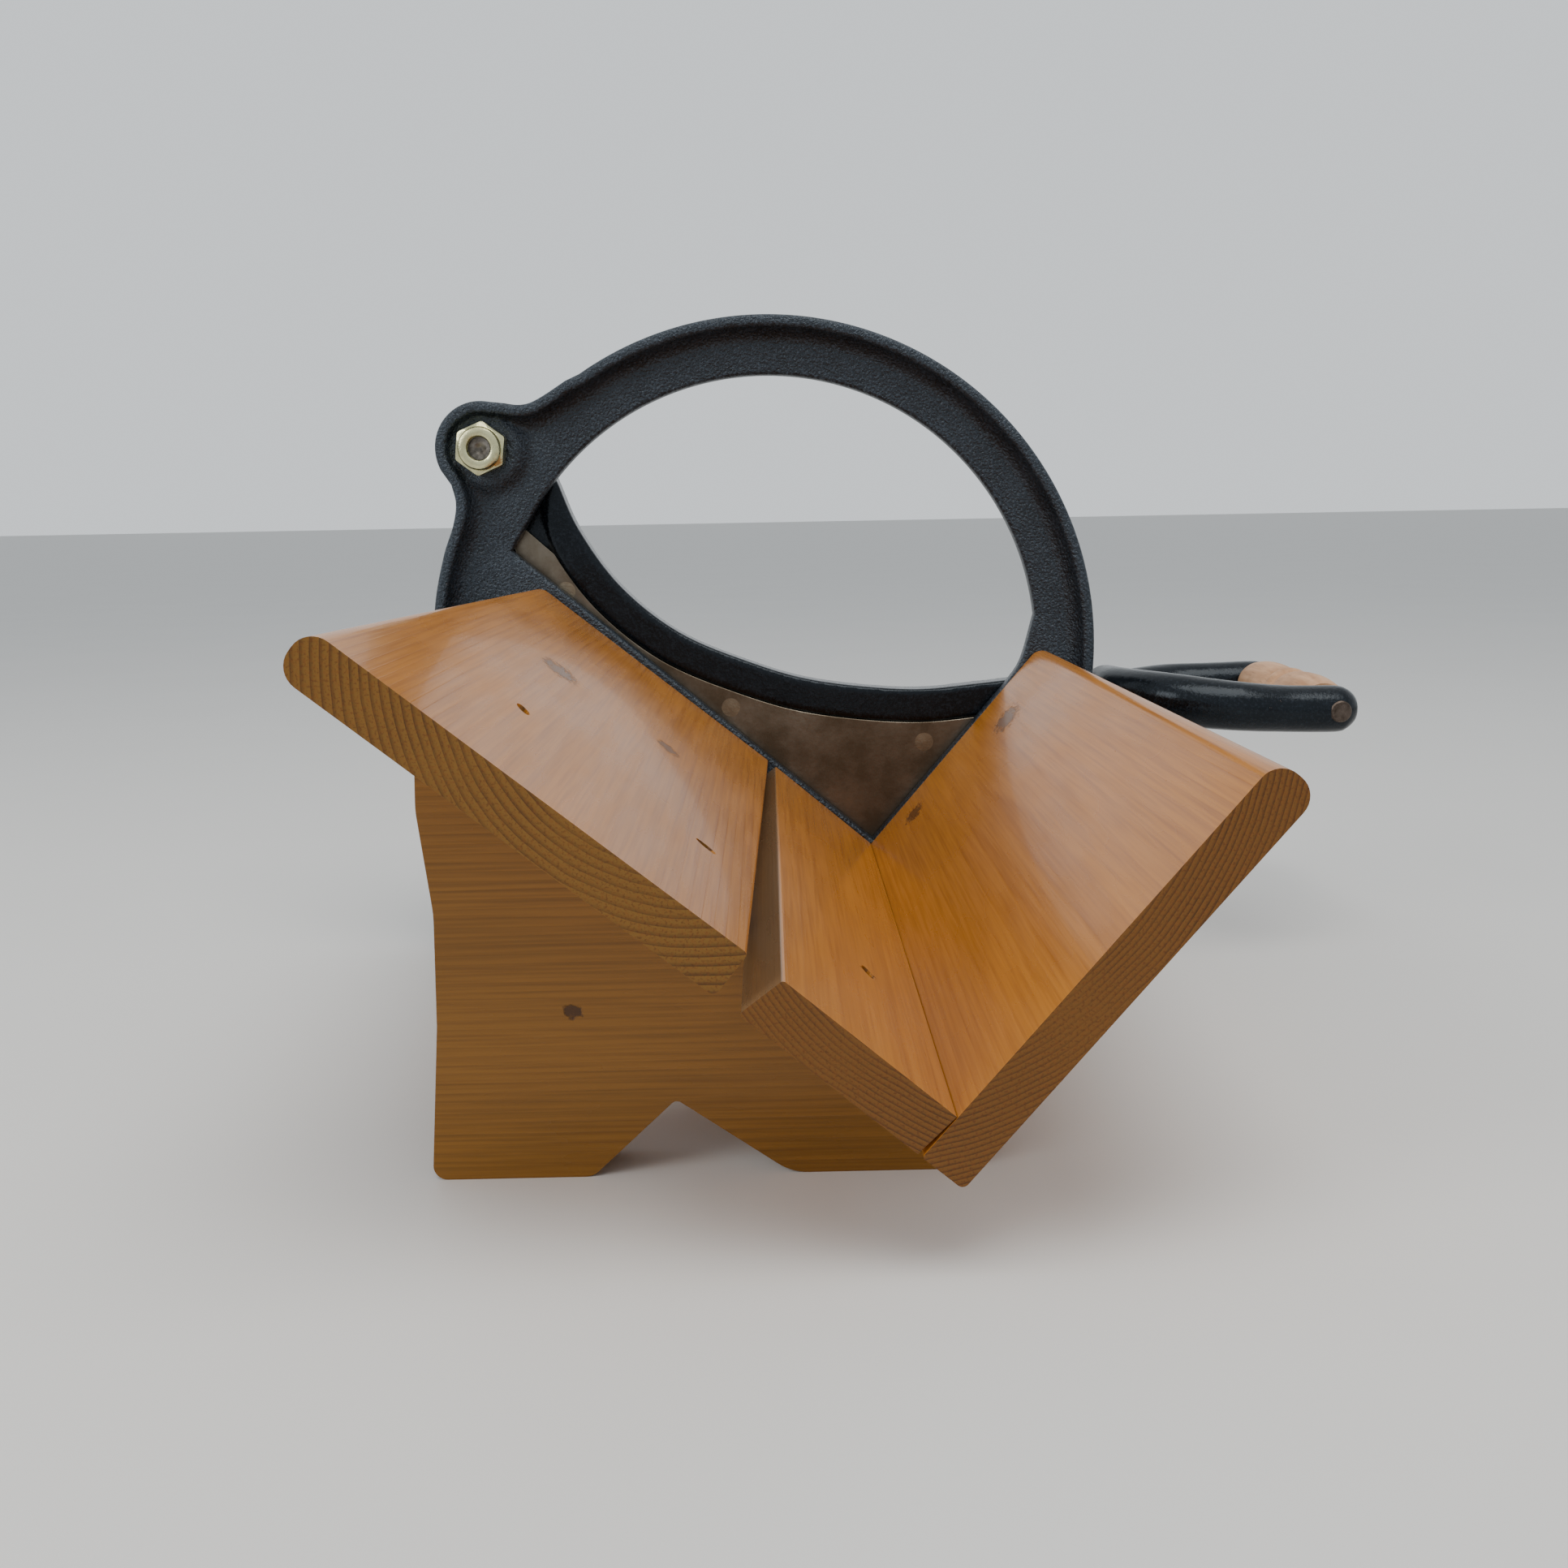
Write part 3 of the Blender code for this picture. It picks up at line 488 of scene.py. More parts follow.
def smooth(controls, steps):
    """A Catmull-Rom curve through the controls, which may carry more numbers than X and Z."""
    knots = [Vector(c) for c in controls]
    knots = [2 * knots[0] - knots[1]] + knots + [2 * knots[-1] - knots[-2]]
    points = []
    for a, b, c, d in zip(knots, knots[1:], knots[2:], knots[3:]):
        for i in range(steps):
            t = i / steps
            points.append(0.5 * (2 * b + (c - a) * t + (2 * a - 5 * b + 4 * c - d) * t * t
                                 + (3 * b - a - 3 * c + d) * t ** 3))
    points.append(knots[-2])
    return points


def rounded(corners, steps=8):
    """A closed outline from (x, z, radius) corners, each filleted with its radius."""
    outline = []
    count = len(corners)
    for i, (x, z, radius) in enumerate(corners):
        corner = Vector((x, z))
        if radius == 0:
            outline.append(corner)
            continue
        back = (Vector(corners[i - 1][:2]) - corner).normalized()
        ahead = (Vector(corners[(i + 1) % count][:2]) - corner).normalized()
        half = back.angle(ahead) / 2
        centre = corner + (back + ahead).normalized() * radius / math.sin(half)
        first = corner + back * radius / math.tan(half) - centre
        last = corner + ahead * radius / math.tan(half) - centre
        turn = first.angle_signed(last)
        for j in range(steps + 1):
            outline.append(centre + Matrix.Rotation(-turn * j / steps, 2) @ first)
    return outline


def inset(outline, distance):
    """A clockwise outline moved inward by one distance, or by one for each point."""
    moved = []
    count = len(outline)
    for i, point in enumerate(outline):
        before = (point - outline[i - 1]).normalized()
        after = (outline[(i + 1) % count] - point).normalized()
        normal_before = Vector((before.y, -before.x))
        normal_after = Vector((after.y, -after.x))
        share = max(1 + normal_before.dot(normal_after), 0.5)
        step = distance[i] if isinstance(distance, list) else distance
        moved.append(point + (normal_before + normal_after) * step / share)
    return moved


def below(curve, distance):
    """An open curve moved to its right-hand side, by one distance or by each point's third number."""
    moved = []
    for i, point in enumerate(curve):
        ahead = curve[min(i + 1, len(curve) - 1)].xy - curve[max(i - 1, 0)].xy
        ahead.normalize()
        moved.append(point.xy + Vector((ahead.y, -ahead.x)) * (point[2] if distance is None else distance))
    return moved


def resample(outline, spacing):
    """A closed outline with extra points, so that no step is longer than the spacing."""
    points = []
    for i, point in enumerate(outline):
        ahead = outline[(i + 1) % len(outline)]
        pieces = max(1, math.ceil((ahead - point).length / spacing))
        points += [point.lerp(ahead, j / pieces) for j in range(pieces)]
    return points


def inside(point, outline):
    hit = False
    for i, first in enumerate(outline):
        second = outline[i - 1]
        if (first.y > point.y) != (second.y > point.y):
            if point.x < (second.x - first.x) * (point.y - first.y) / (second.y - first.y) + first.x:
                hit = not hit
    return hit


# Meshes

def ring_of(work, outline, depth):
    """Vertices of an outline, at one depth or at one for each point."""
    depths = depth if isinstance(depth, list) else [depth] * len(outline)
    return [work.verts.new((point.x, y, point.y)) for point, y in zip(outline, depths)]


def bridge(work, first, second):
    count = len(first)
    for i in range(count):
        j = (i + 1) % count
        work.faces.new((first[i], first[j], second[j], second[i]))


def loft(work, rings):
    for first, second in zip(rings, rings[1:]):
        bridge(work, first, second)


def fill(work, rim, holes=(), extra=(), depth=None):
    """Triangles between a rim and its holes, through the extra points."""
    loops = [rim, *holes]
    verts = [vert for loop in loops for vert in loop]
    edges = []
    start = 0
    for loop in loops:
        edges += [(start + i, start + (i + 1) % len(loop)) for i in range(len(loop))]
        start += len(loop)
    verts += [work.verts.new((point.x, depth(point), point.y)) for point in extra]
    flat = [Vector((vert.co.x, vert.co.z)) for vert in verts]
    outlines = [[Vector((vert.co.x, vert.co.z)) for vert in loop] for loop in loops]
    faces, origins = delaunay_2d_cdt(flat, edges, [], 0, 1e-7)[2:4]
    for face in faces:
        corners = [origins[corner][0] for corner in face]
        middle = sum((flat[corner] for corner in corners), Vector((0, 0))) / 3
        if inside(middle, outlines[0]) and not any(inside(middle, hole) for hole in outlines[1:]):
            work.faces.new([verts[corner] for corner in corners])


def finish_mesh(work, name, look, body, replaced, sharp=40):
    bmesh.ops.recalc_face_normals(work, faces=work.faces)
    mesh = bpy.data.meshes.new(name)
    work.to_mesh(mesh)
    work.free()
    mesh.materials.append(look)
    mesh.shade_smooth()
    mesh.set_sharp_from_angle(angle=math.radians(sharp))
    item = bpy.data.objects.new(name, mesh)
    bpy.context.scene.collection.objects.link(item)
    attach(item, body)
    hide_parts(replaced)
    return item


def prism(work, outline, front, back, holes=()):
    """A closed plate between two depths."""
    loops = [outline, *holes]
    fronts = [ring_of(work, loop, front) for loop in loops]
    backs = [ring_of(work, loop, back) for loop in loops]
    for first, second in zip(fronts, backs):
        bridge(work, first, second)
    fill(work, fronts[0], fronts[1:])
    fill(work, backs[0], backs[1:])


def turned(work, profile, centre, steps=64, around=None):
    """A solid turned about an axis along Y. Its (radius, Y) profile closes on itself or on the axis."""
    rings = []
    for radius, y in profile:
        if radius == 0:
            rings.append([work.verts.new((centre.x, y, centre.y))])
            continue
        ring = []
        for i in range(steps):
            angle = math.tau * i / steps
            real, depth = (radius, y) if around is None else around(radius, y, angle)
            x = centre.x + real * math.cos(angle)
            z = centre.y + real * math.sin(angle)
            ring.append(work.verts.new((x, depth, z)))
        rings.append(ring)
    pairs = list(zip(rings, rings[1:]))
    if len(rings[0]) > 1 and len(rings[-1]) > 1:
        pairs.append((rings[-1], rings[0]))
    for first, second in pairs:
        if len(first) == 1 or len(second) == 1:
            tip, ring = (first[0], second) if len(first) == 1 else (second[0], first)
            for i in range(steps):
                work.faces.new((tip, ring[i], ring[(i + 1) % steps]))
        else:
            bridge(work, first, second)


def soften(item, width, segments=3):
    step = item.modifiers.new("soften", "BEVEL")
    step.width = width
    step.segments = segments
    step.limit_method = "ANGLE"
    step.angle_limit = math.radians(50)


# Boards and leg

def slope(angle, side):
    """The way up a slope and the normal of its upper face. side is -1 to the left and 1 to the right."""
    uphill = Vector((side * math.cos(angle), math.sin(angle)))
    normal = Vector((-side * math.sin(angle), math.cos(angle)))
    return uphill, normal


NARROW = (VALLEY, *slope(NARROW_SLOPE, -1))
RIGHT = (VALLEY, *slope(RIGHT_SLOPE, 1))
LEFT = (LEFT_CORNER, *slope(LEFT_SLOPE, -1))


def on_board(board, along, up):
    origin, uphill, normal = board
    return origin + uphill * along + normal * up


def make_board(name, board, corners, look, skew=0.0, nails=()):
    """Corners are (up the slope, out of the upper face, radius)."""
    outline = rounded([(*on_board(board, along, up), radius) for along, up, radius in corners])
    work = bmesh.new()
    prism(work, outline, TROUGH_FRONT, TROUGH_REAR)
    uphill = board[1]
    middle = (TROUGH_FRONT + TROUGH_REAR) / 2
    for vert in work.verts:
        shift = uphill * (-skew * (vert.co.y - middle) / (TROUGH_REAR - TROUGH_FRONT))
        vert.co += Vector((shift.x, 0, shift.y))
    item = finish_mesh(work, name + "_wood", look, "frame", name)
    soften(item, 0.0008)
    if nails:
        sink_nails(item, board[2], nails)


def sink_nails(item, normal, nails):
    """Small ragged pits over the sunk nail heads."""
    turn = Vector((normal.x, 0, normal.y)).to_track_quat("Z", "Y").to_matrix().to_4x4()
    squeeze = Matrix.Diagonal((1.0, 0.55, 1.0, 1.0))
    work = bmesh.new()
    for number, top in enumerate(nails):
        place = Matrix.Translation(top) @ turn @ Matrix.Rotation(0.9 * number + 0.3, 4, "Z") @ squeeze
        pit = bmesh.ops.create_cone(work, cap_ends=True, segments=14, radius1=PIT_FLOOR_RADIUS,
                                    radius2=PIT_RIM_RADIUS, depth=PIT_HEIGHT, matrix=place)
        for i, vert in enumerate(pit["verts"]):
            away = vert.co - Vector(top)
            vert.co += away * 0.18 * math.sin(2.7 * i + number)
    mesh = bpy.data.meshes.new("pits")
    work.to_mesh(mesh)
    work.free()
    cutter = bpy.data.objects.new("pits", mesh)
    bpy.context.scene.collection.objects.link(cutter)
    step = item.modifiers.new("pits", "BOOLEAN")
    step.object = cutter
    bpy.context.view_layer.update()
    ready = item.evaluated_get(bpy.context.evaluated_depsgraph_get())
    pitted = bpy.data.meshes.new_from_object(ready)
    item.modifiers.clear()
    item.data = pitted
    bpy.data.objects.remove(cutter, do_unlink=True)


def make_boards():
    back = -BOARD_THICKNESS
    narrow_corners = (
        (GAP, 0, 0), (NARROW_WIDTH, 0, 0.0010), (NARROW_BACK_WIDTH, back, 0.0010), (0.0014, back, 0))
    right_corners = (
        (back, 0, 0.0010), (back, back, 0.0018),
        (RIGHT_WIDTH, back, BOARD_ROUND), (RIGHT_WIDTH, 0, BOARD_ROUND))
    left_corners = (
        (0, 0, 0.0012), (LEFT_WIDTH, 0, BOARD_ROUND), (LEFT_WIDTH, back, BOARD_ROUND), (0, back, 0.0018))
    make_board("narrow_board", NARROW, narrow_corners, narrow_pine, nails=NARROW_NAILS)
    make_board("right_board", RIGHT, right_corners, right_pine)
    make_board("left_board", LEFT, left_corners, left_pine, LEFT_SKEW, LEFT_NAILS)


def make_leg():
    outline = rounded((
        (-0.1440, 0.0000, 0.0040), (-0.1402, 0.0450, 0.0300), (-0.1392, 0.0770, 0.0400),
        (-0.1423, 0.1060, 0.0300), (*on_board(LEFT, 0.106, UNDERSIDE), 0.0105),
        (*on_board(LEFT, 0.0005, UNDERSIDE), 0), (*on_board(NARROW, 0.0575, UNDERSIDE), 0),
        (*on_board(RIGHT, UNDERSIDE, UNDERSIDE), 0),
        (*on_board(RIGHT, 0, UNDERSIDE), 0.0020), (0.0060, 0.0000, 0.0030), (-0.0430, 0.0000, 0.0150),
        (-0.0750, 0.0225, 0.0020), (-0.0990, 0.0000, 0.0060)))
    work = bmesh.new()
    prism(work, outline, LEG_FRONT, LEG_FRONT + LEG_THICKNESS)
    item = finish_mesh(work, "front_leg_wood", leg_pine, "frame", "front_leg")
    soften(item, 0.0022, 4)


# Frame casting

def frame_outline():
    left_side = smooth((
        (FOOT_LEFT + 0.0010, 0.0120), (FOOT_LEFT, 0.0550), (-0.1875, 0.1100), (-0.1852, 0.1450),
        (-0.1803, 0.1670), (-0.1755, 0.1800), (-0.1738, 0.1890), (-0.1752, 0.1965)), 8)
    boss = arc(PIVOT, BOSS_RADIUS, 206, 78, 32)
    dip = smooth((
        boss[-1], (-0.1525, 0.2287), (-0.1455, 0.2279), (-0.1385, 0.2300), (-0.1245, 0.2385)), 6)[1:-1]
    arch = arc(ARCH_CENTRE, ARCH_OUTER, 123, -4, 120)
    right_side = smooth((arch[-1], (0.0885, 0.0800), (FOOT_RIGHT, 0.0400), (FOOT_RIGHT, 0.0120)), 8)[1:]
    foot = rounded((
        (FOOT_RIGHT, 0.0120, 0), (FOOT_RIGHT, 0.0000, FOOT_ROUND), (FOOT_RIGHT - 0.040, 0.0000, FOOT_ROUND),
        (FOOT_RIGHT - 0.050, 0.0170, 0.0060), (FOOT_LEFT + 0.054, 0.0240, 0.0080),
        (FOOT_LEFT + 0.040, 0.0000, FOOT_ROUND), (FOOT_LEFT + 0.0010, 0.0000, FOOT_ROUND),
        (FOOT_LEFT + 0.0010, 0.0120, 0)), 4)[1:-1]
    return resample(left_side + boss + dip + arch + right_side + foot, 0.004)


def opening_outline():
    top = [OPENING_TIP] + arc(ARCH_CENTRE, ARCH_INNER, 150, 7, 130)
    bulge = on_board(RIGHT, 0.0980, GAP) + Vector((0.0012, 0.0040))
    bend = smooth((top[-1], bulge, on_board(RIGHT, 0.0900, GAP)), 6)[1:]
    valley = VALLEY + NARROW[2] * V_EDGE_RISE + RIGHT[2] * GAP
    return resample(top + bend + [valley], 0.004)


# Edges of the casting in millimetres: how far in from the outline, and how deep from a face
BACK_EDGE = ((1.4, 0.0), (0.4, -0.35), (0.0, -1.4))
RIM_PROFILE = (
    (0.0, 1.6), (0.12, 0.95), (0.5, 0.4), (1.1, 0.08), (1.9, 0.0), (3.0, 0.0), (3.7, 0.12), (4.3, 0.55),
    (4.6, 1.2), (4.9, 2.6), (5.5, 4.3), (6.5, 6.0), (7.7, 7.5), (9.1, 8.5), (10.6, 9.0))
COVE_START = 4.3


def hub_depth(point):
    """How the casting rises round the pivot in a soft cone."""
    away = (point - PIVOT).length
    share = min(max((away - HUB_TOP) / (HUB_FOOT - HUB_TOP), 0), 1)
    return WEB_FRONT - (WEB_FRONT - HUB_FRONT) * (0.5 + 0.5 * math.cos(math.pi * share))


def rim_rings(work, outer):
    """Rings from the casting's back face, round its edge, over the rim and down the cove to the web."""
    # Near the feet the cove is squeezed, because their corners are tight
    room = [min(max((point.y - 0.030) / 0.030, 0.05), 1.0) for point in outer]
    rings = []
    for reach, depth in BACK_EDGE:
        rings.append(ring_of(work, inset(outer, reach / 1000), WEB_BACK + depth / 1000))
    for reach, depth in RIM_PROFILE:
        extra = max(reach - COVE_START, 0)
        outline = inset(outer, [(reach - extra + extra * share) / 1000 for share in room])
        depths = [min(RIM_FRONT + depth / 1000, hub_depth(point)) for point in outline]
        rings.append(ring_of(work, outline, depths))
    loft(work, rings)
    return rings


def opening_rings(work, opening):
    """Rings from the web's front through the opening to its back, with rounded edges."""
    rings = []
    edge = ((1.5, WEB_FRONT), (0.7, WEB_FRONT + 0.0002), (0.2, WEB_FRONT + 0.0008), (0, WEB_FRONT + 0.0017),
            (0, WEB_BACK - 0.0014), (0.4, WEB_BACK - 0.00035), (1.4, WEB_BACK))
    for reach, y in edge:
        rings.append(ring_of(work, inset(opening, -reach / 1000), y))
    loft(work, rings)
    return rings


def hub_points(limit):
    """Points round the pivot that carry the soft cone, clear of the web's edge."""
    points = []
    for radius in (0.0090, 0.0120, 0.0135, 0.0150, 0.0165, 0.0180, 0.0195, 0.0215):
        for point in arc(PIVOT, radius, 0, 360, 48)[:-1]:
            if inside(point, limit) and min((point - other).length for other in limit) > 0.0012:
                points.append(point)
    return points


def add_ledges(work):
    """The ledges that the boards are screwed to."""
    low = UNDERSIDE - LEDGE_THICKNESS
    for board, start, end in ((LEFT, 0.028, 0.100), (NARROW, 0.015, 0.039), (RIGHT, 0.024, 0.092)):
        corners = ((start, low), (end, low), (end, UNDERSIDE), (start, UNDERSIDE))
        outline = [on_board(board, *corner) for corner in corners]
        prism(work, outline, WEB_FRONT - LEDGE_REACH, WEB_FRONT + 0.003)


def make_frame():
    work = bmesh.new()
    outer = rim_rings(work, frame_outline())
    inner = opening_rings(work, opening_outline())
    bore_front = ring_of(work, circle(PIVOT, BORE_RADIUS), HUB_FRONT)
    bore_back = ring_of(work, circle(PIVOT, BORE_RADIUS), WEB_BACK)
    bridge(work, bore_front, bore_back)
    limit = [Vector((vert.co.x, vert.co.z)) for vert in outer[-1]]
    fill(work, outer[-1], [inner[0], bore_front], hub_points(limit), hub_depth)
    fill(work, outer[0], [inner[-1], bore_back])
    add_ledges(work)
    finish_mesh(work, "frame_casting_iron", iron, "frame", "frame_casting", 50)


# Knife

ARM_TOP = (
    (-0.1540, 0.2240, 0.0050), (-0.1435, 0.2150, 0.0050), (-0.1353, 0.1997, 0.0055),
    (-0.1262, 0.1777, 0.0130), (-0.1094, 0.1535, 0.0140), (-0.0854, 0.1337, 0.0140),
    (-0.0556, 0.1204, 0.0140), (-0.0266, 0.1117, 0.0140), (0.0134, 0.1072, 0.0140),
    (0.0441, 0.1092, 0.0140), (0.0700, 0.1118, 0.0140), (0.1010, 0.1130, 0.0140))


def fork_path():
    """The rear branch runs lower than the front one, and both end in a rounded tip past the grip."""
    tip = [(GRIP.x, PRONG_REACH, GRIP.y, 1.0), (GRIP.x + 0.0045, PRONG_REACH, GRIP.y, 0.90),
           (GRIP.x + 0.0080, PRONG_REACH, GRIP.y, 0.60), (GRIP.x + 0.0095, PRONG_REACH, GRIP.y, 0.20)]
    root = (0.0995, 0.0, 0.1062, 1.0)
    front = smooth([root, (0.1030, 0.0200, 0.1060, 1.08), (0.1160, 0.0400, 0.1054, 1.12),
                    (0.1380, PRONG_REACH, 0.1035, 1.06), (0.1600, PRONG_REACH, 0.1018, 1.0)] + tip, 7)
    rear = smooth([root, (0.1030, 0.0200, 0.1015, 0.95), (0.1160, 0.0400, 0.0995, 0.98),
                   (0.1380, PRONG_REACH, 0.1000, 1.06), (0.1600, PRONG_REACH, 0.1010, 1.0)] + tip, 7)
    back_half = [Vector((x, ARM_MIDDLE + y, z, share)) for x, y, z, share in reversed(rear)]
    front_half = [Vector((x, ARM_MIDDLE - y, z, share)) for x, y, z, share in front[1:]]
    return back_half + front_half


def tube(work, path, radius, sides=28):
    """A closed bar along a path that turns only about Z. Each point carries its own thickness factor."""
    rings = []
    for i, point in enumerate(path):
        ahead = path[min(i + 1, len(path) - 1)].xyz - path[max(i - 1, 0)].xyz
        aside = ahead.cross(Vector((0, 0, 1))).normalized()
        up = aside.cross(ahead).normalized()
        ring = []
        for j in range(sides):
            angle = math.tau * j / sides
            place = point.xyz + (aside * math.cos(angle) + up * math.sin(angle)) * radius * point[3]
            ring.append(work.verts.new(place))
        rings.append(ring)
    loft(work, rings)
    work.faces.new(rings[0])
    work.faces.new(rings[-1])


def make_arm():
    top = smooth(ARM_TOP, 8)
    low = below(top, FLANGE_WIDTH)
    first = next(i for i, point in enumerate(top) if point.x > -0.115)
    heel = [Vector((-0.1560, 0.1655)), STOP_PIN + Vector((0.0040, 0)), *arc(PIVOT, HEEL_RADIUS, 235, 110, 12)]
    bore = circle(PIVOT, BORE_RADIUS)
    work = bmesh.new()
    prism(work, below(top, 0.0010) + low[:first:-1] + heel, FLANGE_FRONT, FLANGE_BACK, [bore])
    prism(work, [point.xy for point in top] + below(top, None)[::-1], BLADE_FRONT + 0.0003, ARM_BACK - 0.0006)
    prism(work, circle(PIVOT, ARM_HUB_RADIUS), BLADE_FRONT, ARM_BACK, [bore])
    tube(work, fork_path(), PRONG_RADIUS)
    item = finish_mesh(work, "knife_arm_iron", arm_iron, "knife", "knife_arm", 180)
    merge = item.modifiers.new("merge", "REMESH")
    merge.mode = "VOXEL"
    merge.voxel_size = 0.0010
    merge.use_smooth_shade = True
    relax = item.modifiers.new("relax", "SMOOTH")
    relax.factor = 0.5
    relax.iterations = 5


def make_blade():
    """Its back is ground down towards the edge, most in the middle of the edge."""
    line = below(smooth(ARM_TOP, 8), 0.0143)
    upper = [Vector((-0.1535, 0.1712)), Vector((-0.1487, 0.1782))]
    upper += [point for point in line if -0.1385 < point.x < 0.0930]
    edge = arc(BLADE_CENTRE, BLADE_RADIUS, -43, -172, 96)
    outline = upper + edge
    grind = [0.0] * len(upper)
    grind += [0.0055 * math.sin(math.pi * i / (len(edge) - 1)) ** 0.3 for i in range(len(edge))]
    work = bmesh.new()
    rings = [
        ring_of(work, inset(outline, 0.0002), BLADE_FRONT),
        ring_of(work, outline, BLADE_FRONT + 0.0002),
        ring_of(work, inset(outline, [0.04 * reach for reach in grind]), BLADE_FRONT + 0.0005),
        ring_of(work, inset(outline, [0.0001 + reach for reach in grind]), BLADE_FRONT + BLADE_THICKNESS),
    ]
    loft(work, rings)
    fill(work, rings[0])
    fill(work, rings[-1])
    finish_mesh(work, "blade_steel", blade_metal, "knife", "blade", 20)


# Nut, bolt, grip and rod

def hexagonal(front, back):
    """Pushes the widest rings of a turned piece out to a hexagon with chamfered corners."""
    flat = ACROSS_FLATS / 2

    def push(radius, y, angle):
        if radius < flat:
            return radius, y
        turn = (angle - math.pi / 6 + NUT_TURN) % (math.pi / 3) - math.pi / 6
        real = flat / math.cos(turn)
        slant = (real - flat) * 0.6
        return real, min(max(y, front + slant), back - slant)

    return push


def make_nut():
    front = NUT_TIP + 0.0025
    flat = ACROSS_FLATS / 2
    profile = [(BORE_RADIUS, NUT_BACK), (BORE_RADIUS, NUT_TIP + 0.0032), (0.0046, NUT_TIP + 0.0030),
               (0.0046, NUT_TIP + 0.0009), (0.0050, NUT_TIP + 0.0003), (0.0057, NUT_TIP), (0.0072, NUT_TIP),
               (0.0081, NUT_TIP + 0.0004), (0.0086, NUT_TIP + 0.0012), (0.0087, front - 0.0002),
               (0.0089, front), (flat, front), (flat, (front + NUT_BACK) / 2), (flat, NUT_BACK),
               (0.0089, NUT_BACK)]
    work = bmesh.new()
    turned(work, profile, PIVOT, 72, hexagonal(front, NUT_BACK))
    finish_mesh(work, "pivot_nut_zinc", zinc, "frame", "pivot_nut", 30)


def make_bolt():
    tip = NUT_TIP + BOLT_SUNK
    head = ARM_BACK + 2 * GAP + WASHER_THICKNESS
    end = head + HEAD_HEIGHT
    flat = ACROSS_FLATS / 2
    profile = [(0, tip + 0.0012), (0.0012, tip + 0.0010), (0.0022, tip + 0.0002), (0.0030, tip),
               (0.0050, tip)]
    y = tip + 0.0006
    while y < HUB_FRONT:
        profile += [(0.0060, y), (0.0055, y + THREAD_PITCH / 2)]
        y += THREAD_PITCH
    profile += [(0.0060, y), (0.0060, head), (flat, head), (flat, (head + end) / 2), (flat, end),
                (0.0088, end), (0.0084, end), (0, end)]
    work = bmesh.new()
    turned(work, profile, PIVOT, 72, hexagonal(head, end))
    finish_mesh(work, "pivot_bolt_steel", bolt_steel, "frame", "pivot_bolt", 30)


def make_grip():
    """Two swells with a beaded waist between them, the same at both ends."""
    half = PRONG_REACH - PRONG_RADIUS - 0.0005
    near_end = ((0.80, -half), (0.87, -half + 0.0012), (0.92, -0.0355), (0.985, -0.0290), (1.0, -0.0230),
                (0.985, -0.0150), (0.93, -0.0085), (0.875, -0.0052), (0.86, -0.0042), (0.93, -0.0030),
                (0.985, -0.0010))
    sides = smooth(near_end + tuple((share, -y) for share, y in reversed(near_end)), 4)
    profile = [(GRIP_BORE_RADIUS, ARM_MIDDLE - half)]
    profile += [(GRIP_RADIUS * share, ARM_MIDDLE + y) for share, y in sides]
    profile += [(GRIP_BORE_RADIUS, ARM_MIDDLE + half)]
    work = bmesh.new()
    turned(work, profile, GRIP)
    finish_mesh(work, "grip_turned", grip_look, "grip", "grip", 50)


def make_rod():
    """Its ends are peened over and show as discs in the prongs."""
    half = PRONG_REACH + PRONG_RADIUS + 0.0003
    near_end = [(0, -half), (0.0026, -half + 0.00005), (0.0038, -half + 0.0002), (0.0043, -half + 0.0006),
                (0.0043, -half + 0.0020), (0.0040, -half + 0.0024)]
    far_end = [(radius, -y) for radius, y in reversed(near_end)]
    work = bmesh.new()
    turned(work, [(radius, ARM_MIDDLE + y) for radius, y in near_end + far_end], GRIP, 48)
    finish_mesh(work, "grip_rod_steel", rod_steel, "knife", "grip_rod", 30)


make_boards()
make_leg()
make_rod()
make_frame()
make_arm()
make_blade()
make_nut()
make_bolt()
make_grip()


# Camera, floor and light

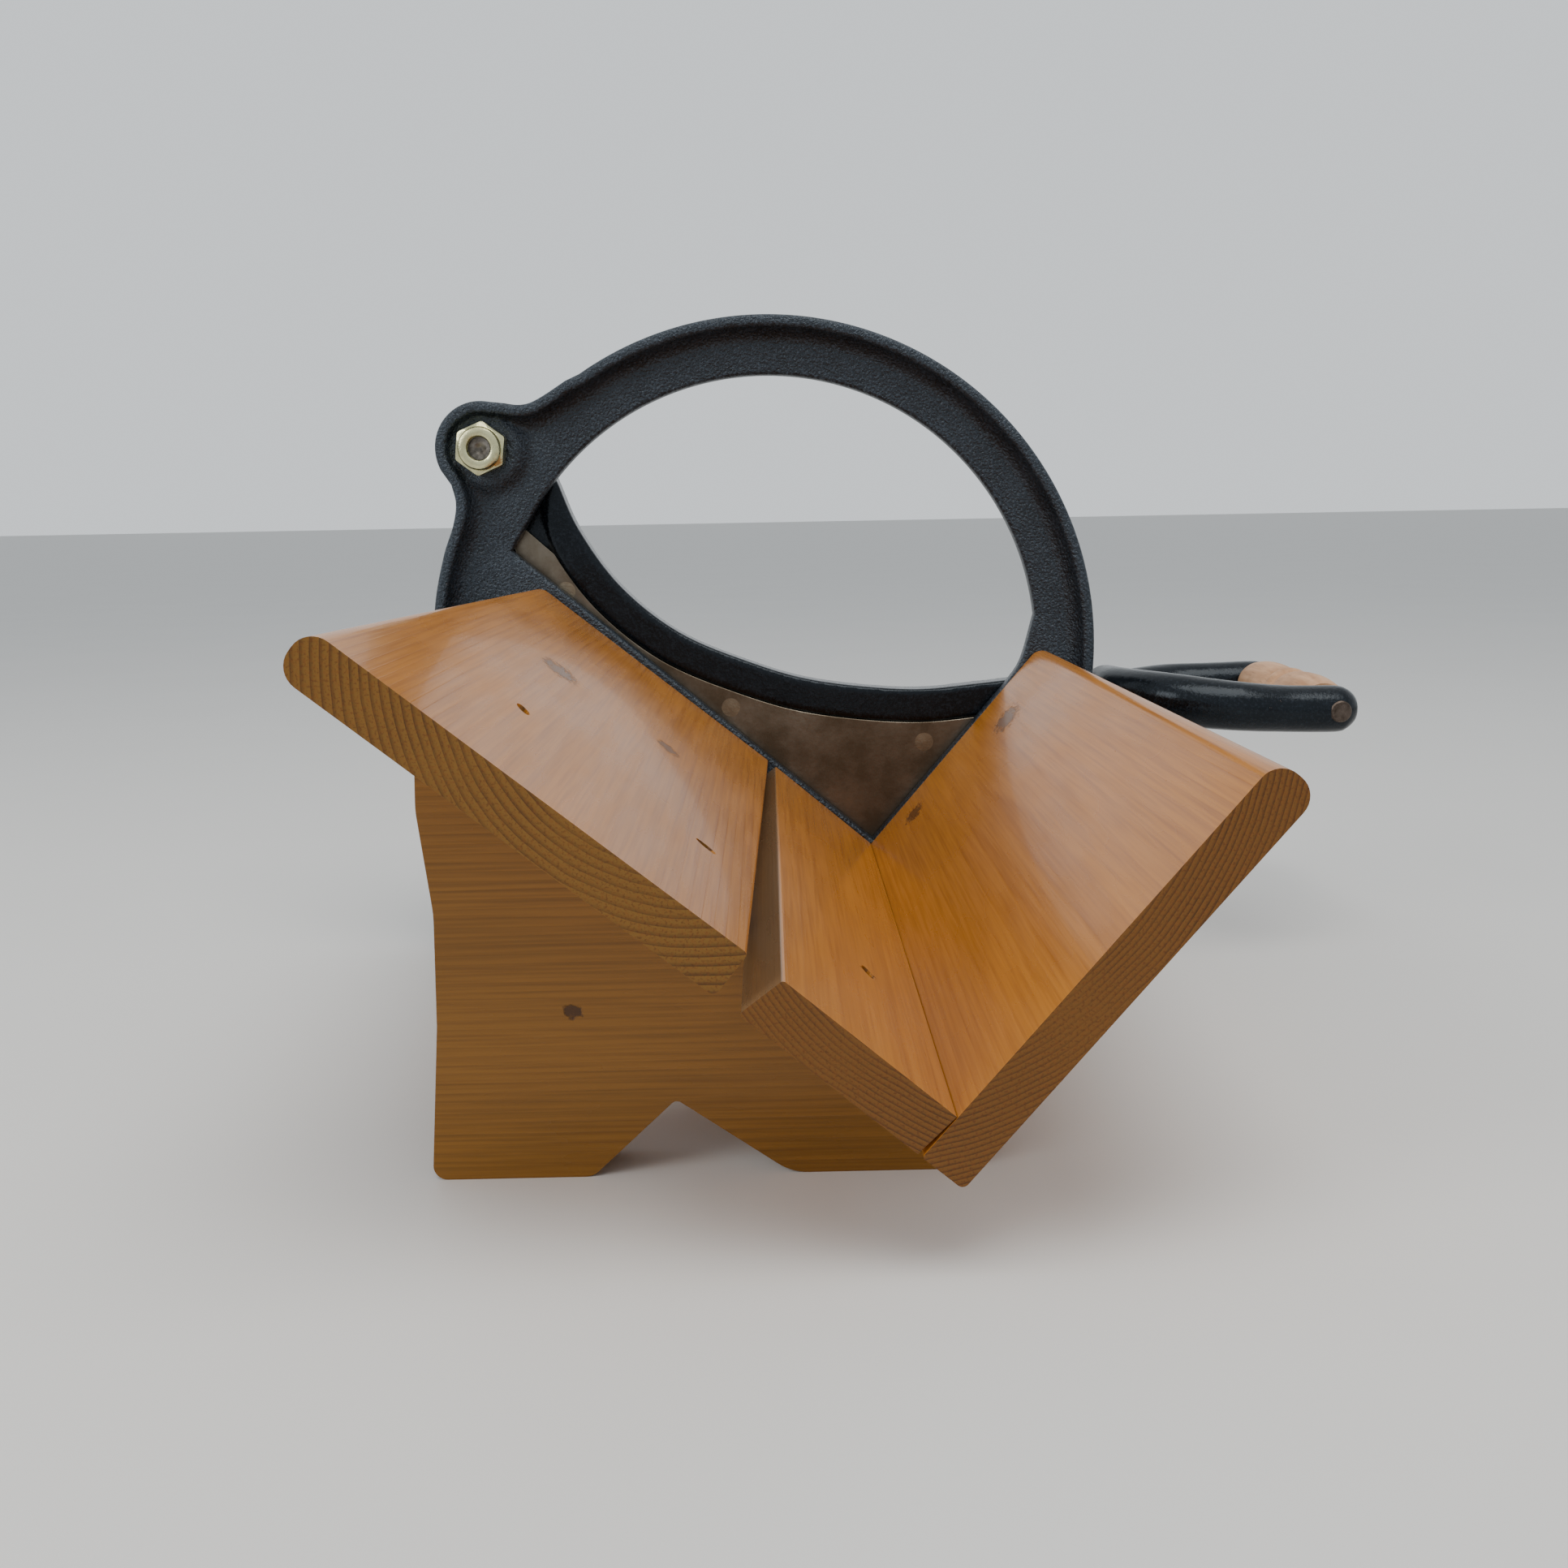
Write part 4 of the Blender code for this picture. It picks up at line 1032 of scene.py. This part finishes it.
def make_camera():
    data = bpy.data.cameras.new("camera")
    data.lens = LENS_MM
    data.sensor_width = SENSOR_MM
    camera = bpy.data.objects.new("camera", data)
    bpy.context.scene.collection.objects.link(camera)
    turn = (Matrix.Rotation(-CAMERA_YAW, 4, "Z") @ Matrix.Rotation(math.pi / 2 - CAMERA_PITCH, 4, "X")
            @ Matrix.Rotation(-CAMERA_ROLL, 4, "Z"))
    camera.matrix_world = Matrix.Translation(CAMERA_PLACE) @ turn
    bpy.context.scene.camera = camera


def make_floor():
    mesh = bpy.data.meshes.new("floor")
    work = bmesh.new()
    bmesh.ops.create_grid(work, x_segments=1, y_segments=1, size=FLOOR_REACH)
    work.to_mesh(mesh)
    work.free()
    floor = bpy.data.objects.new("floor", mesh)
    bpy.context.scene.collection.objects.link(floor)
    n = Nodes("floor")
    tone = n.noise(n.coordinates(), 6.0, 3.0)
    set_material(floor, n.finish(n.mix(tone, (0.78, 0.78, 0.77), (0.82, 0.82, 0.81)), 0.55))


def area_light(name, place, target, size, power, colour):
    data = bpy.data.lights.new(name, "AREA")
    data.shape = "RECTANGLE"
    data.size, data.size_y = size
    data.energy = power
    data.color = colour
    light = bpy.data.objects.new(name, data)
    bpy.context.scene.collection.objects.link(light)
    direction = Vector(target) - Vector(place)
    light.matrix_world = Matrix.Translation(place) @ direction.to_track_quat("-Z", "Y").to_matrix().to_4x4()


def make_world():
    world = bpy.data.worlds.new("world")
    bpy.context.scene.world = world
    world.use_nodes = True
    tree = world.node_tree
    background = tree.nodes["Background"]
    background.inputs["Color"].default_value = (0.83, 0.87, 0.90, 1.0)
    # The backdrop is brighter to the eye and in reflections than the light that it throws
    path = tree.nodes.new("ShaderNodeLightPath")
    level = tree.nodes.new("ShaderNodeMapRange")
    level.inputs["To Min"].default_value = BACKDROP_LEVEL
    level.inputs["To Max"].default_value = AMBIENT_LEVEL
    tree.links.new(path.outputs["Is Diffuse Ray"], level.inputs["Value"])
    tree.links.new(level.outputs["Result"], background.inputs["Strength"])


make_camera()
make_floor()
make_world()
area_light("top", (0.2, -0.5, 1.5), (0, 0, 0.1), (1.2, 0.9), 17.0, (1.0, 0.97, 0.92))
area_light("left", (-1.3, -0.9, 0.9), (0, 0, 0.1), (0.7, 0.7), 9.0, (1.0, 0.98, 0.95))
